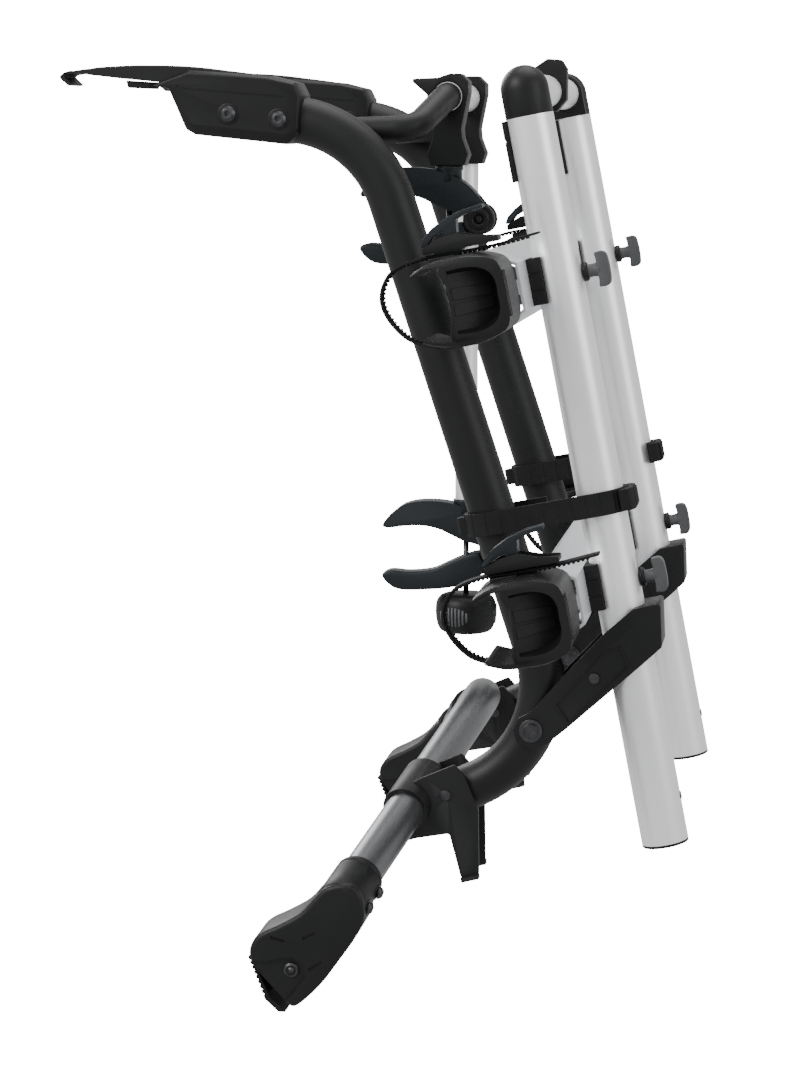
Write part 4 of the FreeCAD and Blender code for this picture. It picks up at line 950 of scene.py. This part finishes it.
for rail in RAILS:
    ladder_straps(rail)
for title in SIDES:
    stow_strap(title)
for arm in ARMS:
    upper_jaw(arm)
    lower_jaw(arm)
    clamp_knob(arm)
for rail in RAILS:
    for title in SIDES:
        wheel_cup(rail, title)
        rail_knob(rail, title)
for title in SIDES:
    foot_boot(title)
    hook_blade(title)
    hook_housing(title)
    link_frames(title)
hook_pads()
bumper_strips()
for rail in RAILS:
    rail_saddles(rail)
for title in SIDES:
    foot_rubber(title)


# ---- backdrop, light and camera -----------------------------------------

FLOOR_GAP = 0.012
FLOOR_REACH = 4500
WALL_BEND = 2500
WALL_TOP = 12000
LIT_SHARE = 0.9
LAMPS = (
    ("key", (-2.6, -2.6, 2.6), 130, 2.0),
    ("fill", (3.2, -1.8, 1.6), 40, 2.2),
    ("top", (0.2, 0.4, 3.2), 60, 2.4),
    ("rim", (-2.2, 2.6, 1.8), 60, 1.6),
)


def backdrop_material():
    """White, and mostly glowing where the camera sees it."""
    material, tree, shader = new_material("backdrop")
    cloud = noise_tex(tree, place_coords(tree), 3)
    tint = ramp(tree, cloud, [(0.2, (0.90, 0.90, 0.898)), (0.8, (0.93, 0.93, 0.928))])
    tree.links.new(tint, shader.inputs["Base Color"])
    shader.inputs["Roughness"].default_value = 0.85
    glow = node(tree, "ShaderNodeEmission", Strength=18.0)
    seen = tree.nodes.new("ShaderNodeLightPath")
    both = tree.nodes.new("ShaderNodeMixShader")
    share = tree.nodes.new("ShaderNodeMath")
    share.operation = "MULTIPLY"
    share.inputs[1].default_value = LIT_SHARE
    tree.links.new(seen.outputs["Is Camera Ray"], share.inputs[0])
    tree.links.new(share.outputs["Value"], both.inputs["Fac"])
    tree.links.new(shader.outputs["BSDF"], both.inputs[1])
    tree.links.new(glow.outputs["Emission"], both.inputs[2])
    tree.links.new(both.outputs["Shader"], tree.nodes["Material Output"].inputs["Surface"])
    return material


def backdrop():
    """A seamless bowl round the object that only the camera sees."""
    profile = [(500, 0), (FLOOR_REACH, 0)]
    for step in range(1, 11):
        angle = math.radians(9 * step)
        profile.append((FLOOR_REACH + WALL_BEND * math.sin(angle), WALL_BEND * (1 - math.cos(angle))))
    profile.append((FLOOR_REACH + WALL_BEND, WALL_TOP))
    mesh = bmesh.new()
    turned(mesh, profile, Matrix.Translation((0, 0, cad_bounds[0][2] - FLOOR_GAP)), 96)
    data = bpy.data.meshes.new("backdrop")
    mesh.to_mesh(data)
    mesh.free()
    data.materials.append(backdrop_material())
    for face in data.polygons:
        face.use_smooth = True
    bowl = bpy.data.objects.new("backdrop", data)
    bpy.context.scene.collection.objects.link(bowl)
    bowl.visible_diffuse = False
    bowl.visible_glossy = False
    bowl.visible_shadow = False


def lights():
    """A bright world and four soft boxes."""
    world = bpy.data.worlds.new("studio")
    bpy.context.scene.world = world
    world.use_nodes = True
    world.node_tree.nodes["Background"].inputs["Color"].default_value = (0.97, 0.975, 0.98, 1)
    world.node_tree.nodes["Background"].inputs["Strength"].default_value = 0.75
    aim = Vector((-0.1, 0, 0.25))
    for title, place, power, wide in LAMPS:
        data = bpy.data.lights.new(title, "AREA")
        data.energy = power
        data.size = wide
        lamp = bpy.data.objects.new(title, data)
        bpy.context.scene.collection.objects.link(lamp)
        lamp.location = place
        lamp.rotation_euler = (aim - lamp.location).to_track_quat("-Z", "Y").to_euler()


def camera():
    """The product view: nearly side-on, a little above, from the near side."""
    data = bpy.data.cameras.new("camera")
    data.lens = 97.6
    data.sensor_width = 36
    shot = bpy.data.objects.new("camera", data)
    bpy.context.scene.collection.objects.link(shot)
    shot.location = (0.294, -3.053, 0.587)
    aim = Vector((-0.1477, 0.979, -0.1383))
    shot.rotation_euler = aim.to_track_quat("-Z", "Y").to_euler()
    bpy.context.scene.camera = shot


backdrop()
lights()
camera()
